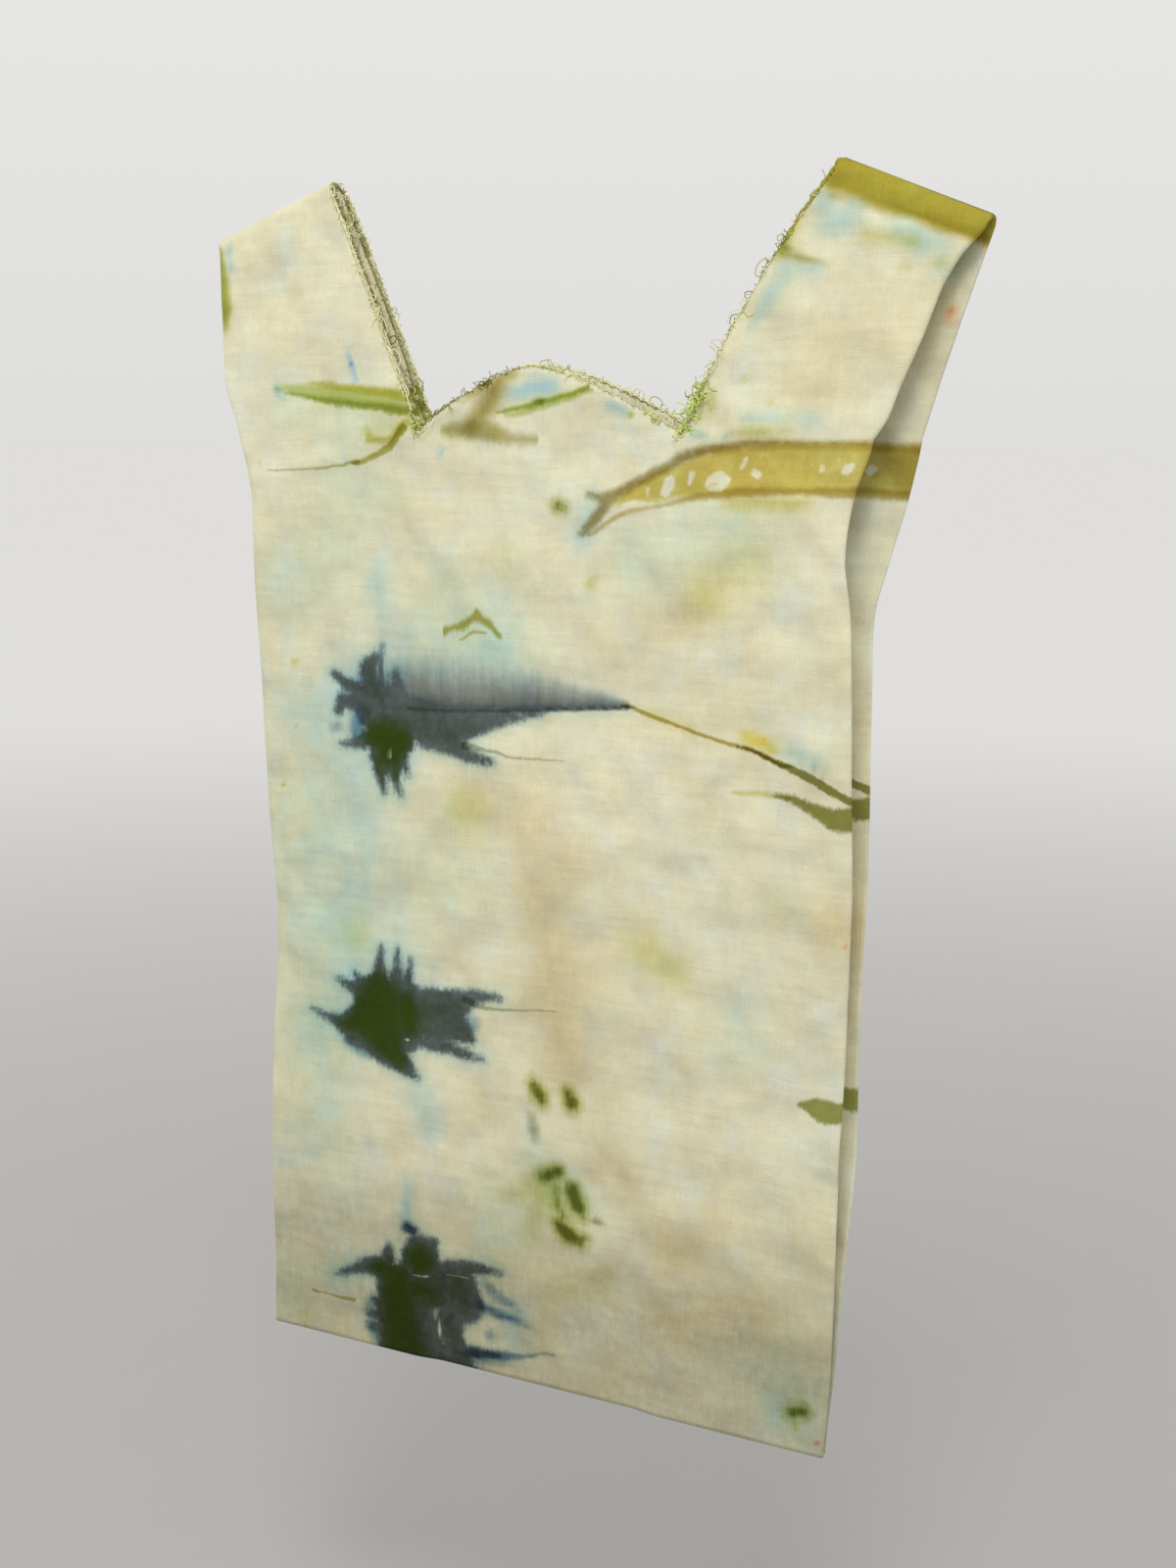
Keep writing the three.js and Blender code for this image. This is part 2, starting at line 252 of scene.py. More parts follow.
def saddle_axis(side):
    """Ends of the line over which a strap bends, and its direction."""
    middle = side * SADDLE_HALF, -SADDLE_RADIUS / math.cos(SLOPE)
    along = side * math.cos(SLOPE), -math.sin(SLOPE)
    reach = -STRAP_TOP / 2, STRAP_TOP / 2 - FOLD
    inner, outer = ((middle[0] + r * along[0], middle[1] + r * along[1]) for r in reach)
    return inner, outer, along


def strap_point(face, side, across, turn, rise, bend):
    """A point of a strap. rise is 0 at the notch and 1 where the bend over the top begins."""
    inner_end, outer_end, along = saddle_axis(side)
    edge = HALF_WIDTH - FOLD
    notch = centre_x(NOTCH_Z) + side * NOTCH_HALF, NOTCH_Z
    shoulder = float(edge_x(face, side, NOTCH_Z)) - side * FOLD, NOTCH_Z
    ix, iz = bow(notch, inner_end, side * INNER_BOW[side], rise)
    shift = np.mean([interpolate(rise + s, OUTER_SHIFT[face, side]) for s in SHIFT_ROUNDING], axis=0)
    ox, oz = bow(shoulder, outer_end, 0, rise)
    ox = ox + side * shift
    flat_x = mix(ix, ox, across) + along[0] * FOLD * np.sin(np.pi * turn)
    flat_z = mix(iz, oz, across) + along[1] * FOLD * np.sin(np.pi * turn)
    panel = mix(panel_depth(NOTCH_Z, mix(NOTCH_HALF, edge, across)), OUTER_RADIUS, rise)
    at_edge = mix(panel_depth(NOTCH_Z, edge), OUTER_RADIUS, rise)
    opened = smooth(0, GUSSET_OPEN, rise)
    gusset = mix(mix(SEAM_GAP, INNER_RADIUS, opened), at_edge - PITCH, across)
    radius = fold_depth(panel, gusset, turn)
    free = mix(1, mix(across, 1, opened), turn) * (1 - smooth(STRAP_CALM, 1, rise))
    out = radius + free * wrinkle(face, flat_x, flat_z)
    angle = bend * (np.pi / 2 - np.arcsin(SADDLE_RETREAT / radius))
    lift = radius * np.sin(angle)
    x = flat_x + side * lift * math.sin(SLOPE)
    z = flat_z + lift * math.cos(SLOPE)
    gone = radius * angle
    return (x, face * out * np.cos(angle), z,
            flat_x + side * gone * math.sin(SLOPE), flat_z + gone * math.cos(SLOPE))


def stations():
    """Places across a strap: the panel from its raw edge, the side crease, the gusset."""
    panel = [(i / STRAP_STEPS, 0.0) for i in range(STRAP_STEPS + 1)]
    crease = [(1.0, i / FOLD_STEPS) for i in range(1, FOLD_STEPS)]
    gusset = [(1 - i / FLAP_STEPS, 1.0) for i in range(FLAP_STEPS + 1)]
    return np.array(panel + crease + gusset)


def body_grid(face, across, turn):
    share = np.arange(BODY_ROWS + 1)[:, None] / BODY_ROWS
    z = mix(HEM_Z, NOTCH_Z, share) + np.zeros((1, len(across)))
    left = np.stack(body_point(face, -1, across, turn, z), -1)[:, ::-1]
    right = np.stack(body_point(face, 1, across, turn, z), -1)
    places = np.linspace(-1, 1, MIDDLE_STEPS + 1)[None, 1:-1]
    height = mix(HEM_Z, NOTCH_Z + hump_z(places), share)
    middle = np.stack(middle_point(face, places, height), -1)
    return np.concatenate([left, middle, right], 1)


def strap_grid(face, side, across, turn):
    levels = [(i / STRAP_ROWS, 0.0) for i in range(1, STRAP_ROWS + 1)]
    levels += [(1.0, i / SADDLE_ROWS) for i in range(1, SADDLE_ROWS + 1)]
    rise, bend = np.array(levels).T[:, :, None]
    strap = np.stack(np.broadcast_arrays(*strap_point(face, side, across[None], turn[None], rise, bend)), -1)
    return strap[:, ::-1] if side < 0 else strap


def cloth_surface(face):
    """Middle surface of one cloth: points, flat places, quads and named runs of points."""
    across, turn = stations().T
    count = len(across)
    body = body_grid(face, across, turn)
    rows, width = body.shape[:2]
    number = np.arange(rows * width).reshape(rows, width)
    blocks, grids = [body.reshape(-1, 5)], [number]
    start = number.size
    for side, base in ((-1, number[-1, :count]), (1, number[-1, -count:])):
        strap = strap_grid(face, side, across, turn)
        ids = start + np.arange(strap.shape[0] * count).reshape(-1, count)
        start += ids.size
        blocks.append(strap.reshape(-1, 5))
        grids.append(np.concatenate([base[None], ids]))
    points = np.concatenate(blocks)
    quads = np.concatenate([
        np.stack([g[:-1, :-1], g[:-1, 1:], g[1:, 1:], g[1:, :-1]], -1).reshape(-1, 4) for g in grids])
    _, left, right = grids
    mouth = number[-1, count - 1:width - count + 1]
    runs = {"mouth": np.concatenate([left[:0:-1, -1], mouth, right[1:, 0]]),
            "gusset_left": left[:, 0], "gusset_right": right[:, -1]}
    return points[:, :3], points[:, 3:], quads, runs


def vertex_normals(points, quads):
    a, b, c, d = (points[quads[:, i]] for i in range(4))
    normal = np.cross(c - a, d - b)
    total = np.zeros_like(points)
    for i in range(4):
        np.add.at(total, quads[:, i], normal)
    return unit_rows(total)


def thicken(points, quads, thickness):
    """Both sides of the cloth and its cut rim."""
    shift = vertex_normals(points, quads) * thickness / 2
    count = len(points)
    a, b, c, d = quads.T
    inner = np.stack([a, d, c, b], -1) + count
    edges = np.stack([quads, np.roll(quads, -1, 1)], -1).reshape(-1, 2)
    key = edges[:, 0].astype(np.int64) * count + edges[:, 1]
    back = edges[:, 1].astype(np.int64) * count + edges[:, 0]
    rim = edges[~np.isin(key, back)]
    rim_quads = np.stack([rim[:, 0], rim[:, 0] + count, rim[:, 1] + count, rim[:, 1]], -1)
    return np.concatenate([points + shift, points - shift]), np.concatenate([quads, inner, rim_quads])


def make_mesh(name, points, faces, material):
    """A smooth-shaded object; points in millimetres."""
    mesh = bpy.data.meshes.new(name)
    mesh.from_pydata((np.asarray(points) * MM).tolist(), [], faces)
    mesh.validate()
    mesh.polygons.foreach_set("use_smooth", np.ones(len(mesh.polygons), bool))
    mesh.materials.append(material)
    obj = bpy.data.objects.new(name, mesh)
    bpy.context.collection.objects.link(obj)
    return obj


def make_piece(node, points, faces, material, slot, **attributes):
    """A piece that stands for the CAD node of the same name, with its per-vertex attributes."""
    obj = make_mesh(node, points, faces, material)
    for name, values in attributes.items():
        data = obj.data.attributes.new(name, "FLOAT_VECTOR", "POINT")
        data.data.foreach_set("vector", np.ascontiguousarray(values, np.float32).ravel())
    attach(obj, "root")
    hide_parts(node)
    return obj


# ---------------------------------------------------------------- dye marks
# Strokes on the flat cloth: each is a line of (x, z, half width) places, in millimetres
SLATE = [
    [(-97, -214, 6), (-86, -219, 4.5), (-66, -220.8, 1.5), (-30, -218.4, 0.3), (0, -215.4, -0.4),
        (20, -213.4, -0.9), (35, -212.4, -1.4)],
    [(-72, -224, 4), (-52, -224, 4.6), (-32, -221, 2.4), (-20, -219.5, 0.6)],
    [(-86, -205, 1.4), (-85, -213, 3)],
    [(-94, -226, 8), (-74, -229, 7), (-55, -231, 6), (-45, -228, 3.6), (-28, -222.5, 1.8),
        (-8, -217.5, 0.6)],
    [(-70, -233, 6), (-55, -236, 5), (-48, -240, 3), (-35, -242.3, 1.3)], [(-90, -236, 13), (-92, -243, 9)],
    [(-96, -246, 4), (-95, -253, 2.6), (-93, -261, 0.9)],
    [(-87, -246, 4), (-87.5, -254, 2.2), (-84, -262, 0.7)], [(-84, -244, 3), (-80, -252, 0.7)],
    [(-102, -237, 4), (-108, -239.5, 2.4), (-116, -240, 0.6)],
    [(-100, -213, 4.5), (-100.5, -204, 4.6), (-97, -199, 2.2)],
    [(-94, -228, 2.6), (-93.5, -208, 1.8), (-93, -193, 0.4)],
    [(-103, -216, 3.2), (-112, -212.5, 2.6), (-119, -208, 1.6)],
    [(-101, -226, 6), (-106, -221, 4), (-115, -219.5, 2.8), (-117.5, -225, 2)],
    [(-95, -368, 16), (-98, -360, 11)], [(-90, -360, 10), (-82, -362, 12), (-84, -372, 13)],
    [(-102, -372, 12), (-113, -375, 6), (-121, -373.5, 2.2), (-133, -369.5, 0.4)],
    [(-100, -380, 8), (-90, -386, 7.5), (-82, -391, 4.5), (-75, -396, 0.8)],
    [(-110, -380, 5), (-106, -384, 2.5)], [(-101, -360, 8), (-108, -357, 3.2), (-118, -353, 0.8)],
    [(-104, -356, 4), (-109, -349, 0.6)], [(-95, -352, 4.6), (-95.5, -345, 2.4), (-94.6, -335, 0.7)],
    [(-87, -352, 4), (-86.3, -345, 2.2), (-86, -335, 0.5)],
    [(-82, -354, 3.4), (-80, -346, 1.6), (-79, -339, 0.5)],
    [(-78, -366, 12), (-66, -363, 11), (-55, -358, 7.5), (-45, -352.5, 3.2), (-38, -351.5, 1.9),
        (-30, -351.4, 0.9)],
    [(-66, -368, 9), (-56, -367, 8), (-50, -370, 5), (-46, -373, 2)],
    [(-78, -375, 4), (-68, -378, 3.4), (-56, -379, 2.6), (-48, -381, 1.9), (-40, -381.5, 0.6)],
    [(-77, -488, 10.5), (-76, -484, 9), (-69, -478, 2)],
    [(-98, -497, 6.5), (-106, -496.5, 4.2), (-114, -500, 2.2), (-125, -505, 0.5)],
    [(-95, -490, 4), (-94, -484.5, 1.6)], [(-92, -505, 10), (-91, -520, 11), (-89, -540, 13)],
    [(-84, -503, 12), (-80, -540, 14)], [(-70, -500, 12), (-58, -498, 12), (-54, -505, 11)],
    [(-62, -491, 5), (-50, -487, 3.2), (-41, -486, 1.8), (-32, -486, 0.5)],
    [(-62, -515, 7), (-60, -526, 6), (-55, -540, 7)], [(-70, -530, 6), (-66, -540, 8)],
    [(-101, -522, 3), (-109, -522, 0.7)], [(-101, -529, 3.4), (-108, -528.5, 0.8)],
    [(-101, -516, 2.6), (-105, -514, 0.7)], [(-54, -531, 3.2), (-44, -529.5, 2.0), (-35, -528.5, 0.4)],
    [(-84, -473, 2.6), (-80, -474, 2)],
]
GREEN = [
    [(-98, -235, 7), (-86, -237, 8), (-90, -243, 7)], [(-96, -246, 3), (-94.5, -254, 1.2)],
    [(-87, -246, 3), (-87, -254, 1)], [(-100, -370, 12), (-95, -356, 9), (-92, -380, 9), (-84, -389, 4)],
    [(-108, -373, 6), (-116, -375, 2.5)], [(-82, -362, 6), (-80, -372, 5)], [(-77, -488, 7.5)],
    [(-91, -500, 8), (-90, -520, 9.5), (-86, -542, 11)], [(-100, -497, 5)],
    [(-78, -503, 5), (-72, -507, 4)],
]
MOSS = [
    [(-13, -389, 2.8), (-10, -394, 4.2), (-8, -397, 2.6)], [(5, -391, 3.4), (7, -395, 4.4)],
    [(-9, -433, 3), (0, -429, 3.4)], [(7, -437, 5), (10, -444, 4.6), (13, -449, 1.5)],
    [(-1, -455, 3.4), (4, -459, 5), (10, -461, 3.2), (14, -458, 1)],
    [(-2, -438, 1.4), (-1, -446, 1.8), (3, -452, 1.2)], [(-2, -127, 2.6), (1, -128, 1.8)],
    [(116, -520, 3), (122, -518, 3)],
]
OLIVE = [
    [(10, -138.5, 0.9), (17, -131.6, 1.8), (24, -122.5, 1.6), (36, -116.3, 1.1), (49, -110, 1.3),
        (58, -105, 1.6), (70, -101, 1.0), (88, -98.5, -0.4), (112, -98, -1.0), (150, -98, -0.8)],
    [(25, -121, 1.0), (18, -123, 1.0), (12, -121.5, 0.2)],
]
GOLD = [
    [(27, -124, 1.5), (44, -118, 5.5), (60, -114, 7.5), (78, -110.5, 9.5), (100, -108.5, 10),
        (125, -108, 10), (162, -108, 10.5)],
    [(116, 13, 8), (124, 10, 10), (134, 6, 8.5), (146, 1, 10), (156, -2, 8.6), (168, -7, 9.6),
        (178, -10, 8.4), (190, -15, 9.4)],
]
RESIST = [
    [(69.5, -116.5, 1.2), (71.5, -113.5, 1.7), (75.5, -112.2, 2), (79, -114, 1.7)],
    [(71, -117.5, 1.4), (75, -117.5, 1.8), (78, -115.5, 1.2)], [(61.5, -116, 0.8), (62.5, -111, 1.2)],
    [(50, -120, 2), (52, -116, 2.6), (53.5, -113.5, 1.2)], [(42, -120.3, 0.8), (42.3, -118.6, 1)],
    [(30.5, -126, 1), (36, -124.7, 1.5), (41, -125, 1)], [(85.3, -109, 0.8), (87.3, -105.2, 1.2)],
    [(91, -110.5, 1.5), (93, -111.5, 1.9)], [(121.5, -109.5, 1), (122.5, -107.6, 1)],
    [(132.5, -108.8, 2.1), (134.5, -107, 1.4)], [(117.6, -106.3, 0.8)],
    [(152, -110, 1.4), (154, -106, 1.2)], [(150, -118, 1.4)],
    [(-90.3, -245.5, 0.9), (-90.3, -242.4, 0.8), (-90, -240.6, 0.4)],
    [(-84, -377, 0.1), (-80, -378.3, 0.7)], [(-72, -375.6, 0.8)], [(-89.6, -351, 0.8)],
    [(-68.3, -516, 0.4), (-67.4, -524, 0.8), (-66, -530, 0.5)],
    [(-83, -495.5, -0.2), (-77, -497, 0.6), (-70, -494.5, 0.2)],
    [(-63, -493, -0.1), (-56, -492, 0.4), (-50, -492.5, 0.1)], [(-92, -212, 0.5), (-91, -198, 1.1)],
    [(-96.8, -214, 0.4), (-96.6, -203, 0.7)], [(-78.6, -216, 0.5), (-78.2, -203, 1.3)],
]
BLUE = [
    [(-71, -226, 1.8), (-60, -226, 1.4)], [(-80.5, -513, 2.4), (-74, -515, 1.4)],
    [(-108, -234, 3), (-106, -226, 3.4)], [(-120, -233, 1.6), (-117, -233, 1)],
    [(-57, -366, 5), (-47, -366, 4.4), (-43, -364, 2)], [(-41, -493, 2), (-36, -498, 3), (-27, -501, 1.2)],
    [(-45, -505, 2.4), (-33, -507, 2.6), (-18, -509, 1)], [(-39, -519, 2.6)],
    [(-50, -534, 3), (-30, -529, 2.6)], [(-112, -384, 2.5), (-103, -388, 2.5)],
    [(-105, -518, 4), (-103, -532, 4)],
]
TURQUOISE = [
    [(-140, -222, 18), (-118, -230, 26), (-104, -222, 30), (-70, -194, 20), (-30, -192, 14)],
    [(-96, -175, 10), (-94, -160, 7)], [(-108, -262, 30), (-108, -335, 28)],
    [(-126, -380, 22), (-102, -348, 28), (-80, -345, 16)], [(-74, -404, 12), (-68, -419, 8)],
    [(-84, -462, 9), (-82, -452, 6)], [(-112, -500, 13), (-128, -508, 10)],
    [(-28, -508, 12), (-25, -525, 9)], [(62, -96, 4), (68, -97, 4)], [(77, -97, 3)],
    [(86, -89, 4), (102, -88, 5), (118, -88, 4)], [(10, -141, 7), (16, -124, 6)],
    [(-22, -80, 6), (-16, -76, 7), (-6, -76, 6)], [(-62, -105, 4)],
    [(118, -2, 6), (118, -14, 7), (128, -10, 8)],
    [(102, -29, 5), (116, -29, 4)], [(101, -33, 6), (92, -45, 5), (87, -52, 3)],
    [(150, -15, 7), (166, -22, 7), (168, -31, 5)], [(112, -226, 6), (124, -229, 6)], [(118, -524, 15)],
    [(24, -84, 4), (30, -86, 4)], [(-178, -22, 3), (-178, -15, 3)], [(-150, -77, 4), (-146, -82, 3)],
]
MINT = [
    [(-140, -88, 14), (-95, -93, 12), (-110, -104, 12)], [(-110, -120, 16), (-90, -125, 14)],
    [(-140, -170, 26), (-120, -150, 24)], [(-60, -170, 24), (-20, -192, 20)], [(-62, -90, 8)],
    [(-10, -425, 16), (10, -440, 14)], [(-30, -470, 20), (-40, -452, 18)], [(110, -505, 26)],
    [(90, -350, 18)], [(-60, -300, 26)], [(-150, -520, 20)], [(40, -150, 22), (90, -135, 16)],
    [(-140, -270, 30), (-130, -440, 26)],
]
PEACH = [
    [(-12, -300, 14), (0, -340, 27), (2, -372, 22)], [(22, -400, 20), (24, -425, 18)],
    [(60, -455, 16), (78, -440, 14)], [(132, -300, 16)], [(0, -285, 18)],
    [(-30, -262, 17), (-10, -270, 16)], [(45, -175, 16), (60, -172, 13)], [(100, -480, 20)],
    [(-40, -405, 16)], [(130, -55, 30), (115, -75, 16)],
]
STRAW = [
    [(15, -161, 5), (17, -158, 3)], [(40, -318, 14), (60, -330, 12)], [(-48, -265, 18)],
    [(90, -150, 16), (70, -160, 14)], [(88, -95, 5), (104, -94, 5)], [(84, -124, 5), (112, -124, 5)],
    [(-10, -440, 12), (5, -452, 12)], [(135, -17, 5), (155, -20, 5)], [(168, -28, 4)], [(152, -29, 4)],
    [(-178, -50, 4)], [(-125, -82, 5), (-90, -85, 5)], [(-98, -97, 5), (-84, -94, 5)],
    [(-30, -86, 3), (-10, -82, 3), (12, -77, 3)],
    [(85, -73, 2.5)], [(97, -82, 2.5)], [(70, -81, 4), (68, -88, 4)], [(106, 0, 6), (100, -20, 6)],
    [(93, -222, 6), (104, -223, 5)], [(-146, -531, 5)], [(-108, -330, 12)], [(-50, -182, 6)],
    [(118, -527, 3)], [(45, -214, 5), (65, -220, 4)],
]
# The feathered band that rises from a crisp lower line: place, height of the line, height of the band
FEATHER = [(-118, -222, 4), (-104, -222, 22), (-94, -222, 31), (-70, -221, 31), (-40, -219.4, 27),
    (-10, -216.5, 20), (15, -214, 11), (36, -212.2, 3)]
# Softness of that line on its lower side
LOWER_EDGE = 1.6
# Marks in colours of their own, with painted shade and a painted highlight among them: softness, tint,
# strokes
STAINS_AND_PAINTED_LIGHT = [
    (0.9, (0.60, 0.56, 0.10), [[(-141, -204, 1.2)], [(-148, -262, 0.4)], [(-141, -233, 0.6)]]),
    (1.0, (0.9, 0.34, 0.26), [[(138, -304, 0.5)], [(129, -531, 1.0)], [(131, -533, 0.4)],
        [(127, -533, 0.3)]]),
    (1.0, (0.95, 0.80, 0.12), [[(118, -526, 0.8)], [(112, -522, 0.2)]]),
    (0.8, (0.30, 0.24, 0.62), [[(-109, -67, 0.2)]]),
    (3.0, (0.86, 0.42, 0.28), [[(168, -46, 1.5), (169, -50, 1.0)]]),
    # painted shade: the cloth darker toward the hem
    (38.0, (0.66, 0.645, 0.60), [[(-200, -590, 128), (180, -590, 120)]]),
    (20.0, (0.92, 0.975, 1.0), [[(-122, -226, 12), (-104, -214, 10)], [(-124, -372, 8), (-104, -362, 12)],
        [(-118, -500, 8)], [(-104, -262, 3), (-106, -336, 3)]]),
    # painted highlight: a lighter middle of the body
    (34.0, (1.07, 1.05, 1.04), [[(-10, -262, 20), (60, -240, 20)]]),
    (20.0, (0.90, 0.83, 0.72), [[(-8, -300, 0), (-2, -340, 9), (2, -372, 7)], [(34, -425, 6),
        (60, -455, 6)], [(96, -470, 7), (60, -492, 5)], [(132, -296, 6)], [(118, -440, 5)]]),
    (12.0, (0.91, 0.89, 0.70), [[(46, -318, 3), (58, -326, 2)], [(20, -480, 6), (-10, -492, 4)],
        [(70, -165, 8)], [(-48, -262, 6)], [(-30, -150, 6)], [(110, -290, 5)]]),
    (2.6, (0.44, 0.50, 0.40), [[(-14, -405, 1.2), (-13, -411, 2.6), (-12, -416, 0.6)]]),
    (1.6, (0.34, 0.38, 0.22), [[(19, -449, 1.4), (22, -449, 1)]]),
    (2.0, (0.66, 0.63, 0.40), [[(-28, -398, 0.2)], [(-104, -396, 0.2)], [(-76, -246, 0)]]),
    # olive-gold fold over the top of the right strap
    (1.6, (0.66, 0.68, 0.36), [[(112, 16, 10.5), (150, 3, 10.5), (192, -12, 10.5)]]),
    (2.4, (0.74, 0.70, 0.52), [[(120, -1, 1), (150, -8, 1.6), (182, -19, 1.6)]]),
    (4.0, (0.62, 0.64, 0.30), [[(111, 4, 0.5), (104, -12, 1.0), (99, -24, 0.5)]]),
    (2.2, (0.50, 0.50, 0.24), [[(99, -21, 2.4), (108, -25, 1.2), (121, -28.5, -1)]]),
    (5.0, (0.92, 0.97, 1.0), [[(118, -3, 3), (120, -14, 4), (129, -6, 4)], [(150, -16, 2), (168, -22, 3)]]),
    (3.4, (0.85, 0.94, 1.02), [[(100, -29, 2), (117, -29, 0)], [(101, -32, 3), (94, -42, 2.2),
        (87, -52, 0)]]),
    (3.0, (0.88, 0.84, 0.60), [[(135, -16, 0), (156, -20, 1)], [(165, -28, 1.6)]]),
    (3.0, (0.86, 0.93, 1.0), [[(84, -89, 0.4), (104, -88, 1.4), (118, -88, 0)]]),
    (1.8, (0.62, 0.80, 0.90), [[(64, -95, 1.6), (67, -96, 1.6)], [(78, -96, 1)]]),
    (3.0, (0.72, 0.74, 0.44), [[(80, -94, 0), (96, -94, 1)], [(72, -84, 0), (70, -78, 0)]]),
    (2.0, (0.92, 0.86, 0.40), [[(85, -73, 0.2)], [(97, -82, 0.2)], [(92, -7, 0)]]),
    (3.5, (0.80, 0.76, 0.46), [[(78, -123, 1.5), (116, -122.5, 1.5)]]),
    # left strap
    (2.2, (0.44, 0.50, 0.13), [[(-184, -16, 1.5), (-182, -30, 3.6), (-179.5, -42, 3.6),
        (-178.5, -54, -1)]]),
    (3.0, (0.62, 0.84, 1.0), [[(-178, -15, 1)], [(-176.5, -22, 0.4), (-177, -27, 0)]]),
    (1.5, (0.52, 0.78, 1.18), [[(-110.8, -60, 0), (-109, -67, 1.4), (-106.5, -74, 1)]]),
    (2.0, (0.62, 0.82, 0.92), [[(-150, -78, 0.6), (-146.5, -82, 0.8)]]),
    (1.6, (0.60, 0.58, 0.20), [[(-101, -95, 0.6), (-99, -100, 1.4), (-88, -101, 1.4), (-80, -93, 2.2)]]),
    (2.5, (0.78, 0.76, 0.42), [[(-158, -112, 0.5)]]),
    # hump of the mouth
    (4.6, (0.50, 0.44, 0.20), [[(-50, -80, 0.5), (-38, -75, 3.0), (-26, -70, 2.0)], [(-32, -73, 3.2),
        (-38, -84, 4.4), (-47, -93, 2.6)]]),
    # painted shade: the gusset past the gold band at the right edge, darker and duller
    (3.5, (0.66, 0.63, 0.50), [[(152, -108, 11), (182, -108, 12)]]),
    (3.5, (0.72, 0.74, 0.56), [[(-60, -97, 1), (-36, -97, 3)]]),
    (3.0, (0.66, 0.84, 1.02), [[(-28, -80, 2), (-16, -77, 3), (-4, -76, 2)], [(-31, -86, 1)]]),
    (1.4, (0.22, 0.28, 0.06), [[(-14.5, -83, 0.4), (-10, -82, 0.6)]]),
    (2.2, (0.58, 0.76, 1.0), [[(23, -84, 1), (30, -86, 1)]]),
    (1.6, (0.44, 0.58, 0.16), [[(33, -87.5, 1.0)]]),
    (2.0, (0.60, 0.82, 0.96), [[(-62, -105, 0.8)], [(-68, -93, 0)]]),
    (2.0, (0.72, 0.80, 0.95), [[(8, -102, 0.2)]]),
    # body
    (1.8, (0.70, 0.62, 0.30), [[(14, -160, 0.5), (16, -158, 0)]]),
    (9.0, (0.86, 0.95, 1.0), [[(-93, -192, 0), (-93.5, -170, -3)]]),
    (3.2, (0.46, 0.60, 0.82), [[(-108, -233, 3), (-106, -226, 3)], [(-118, -232, 0)]]),
    (1.6, (0.92, 0.84, 0.32), [[(90, -220, 2), (98, -222, 2.4), (104, -225, 1)]]),
    (3.0, (0.82, 0.94, 1.0), [[(112, -224, 2), (124, -228, 1.6)]]),
    (1.0, (0.56, 0.66, 0.70), [[(123, -227, 0), (122, -232, 0.4)], [(127, -231, -0.2), (127, -235, 0.3)]]),
    (5.0, (1.06, 1.08, 1.12), [[(-78, -437, 2), (-70, -438, 1)], [(22, -436, 5), (26, -430, 4)],
        [(62, -340, 6)]]),
    (9.0, (0.68, 0.74, 0.52), [[(-28, -447, 1), (-6, -436, 5), (-16, -462, 2)]]),
    (2.0, (0.30, 0.42, 0.62), [[(-83, -472, 2.6), (-81, -473, 2.2)]]),
    (4.0, (0.62, 0.78, 0.98), [[(-83, -466, 2), (-84, -455, 0)]]),
    (2.4, (0.46, 0.62, 0.80), [[(-40, -494, 0.6), (-28, -501, 1), (-20, -504, 0)], [(-39, -519, 0.8)]]),
    (1.6, (0.30, 0.40, 0.56), [[(-46, -505, 1.4), (-36, -507, 1.4), (-18, -509.5, 0)]]),
    (1.6, (0.50, 0.60, 0.74), [[(-52, -531, 2), (-36, -528.5, 1.6), (-22, -526, 0.4), (-6, -521.5, -0.4)]]),
]
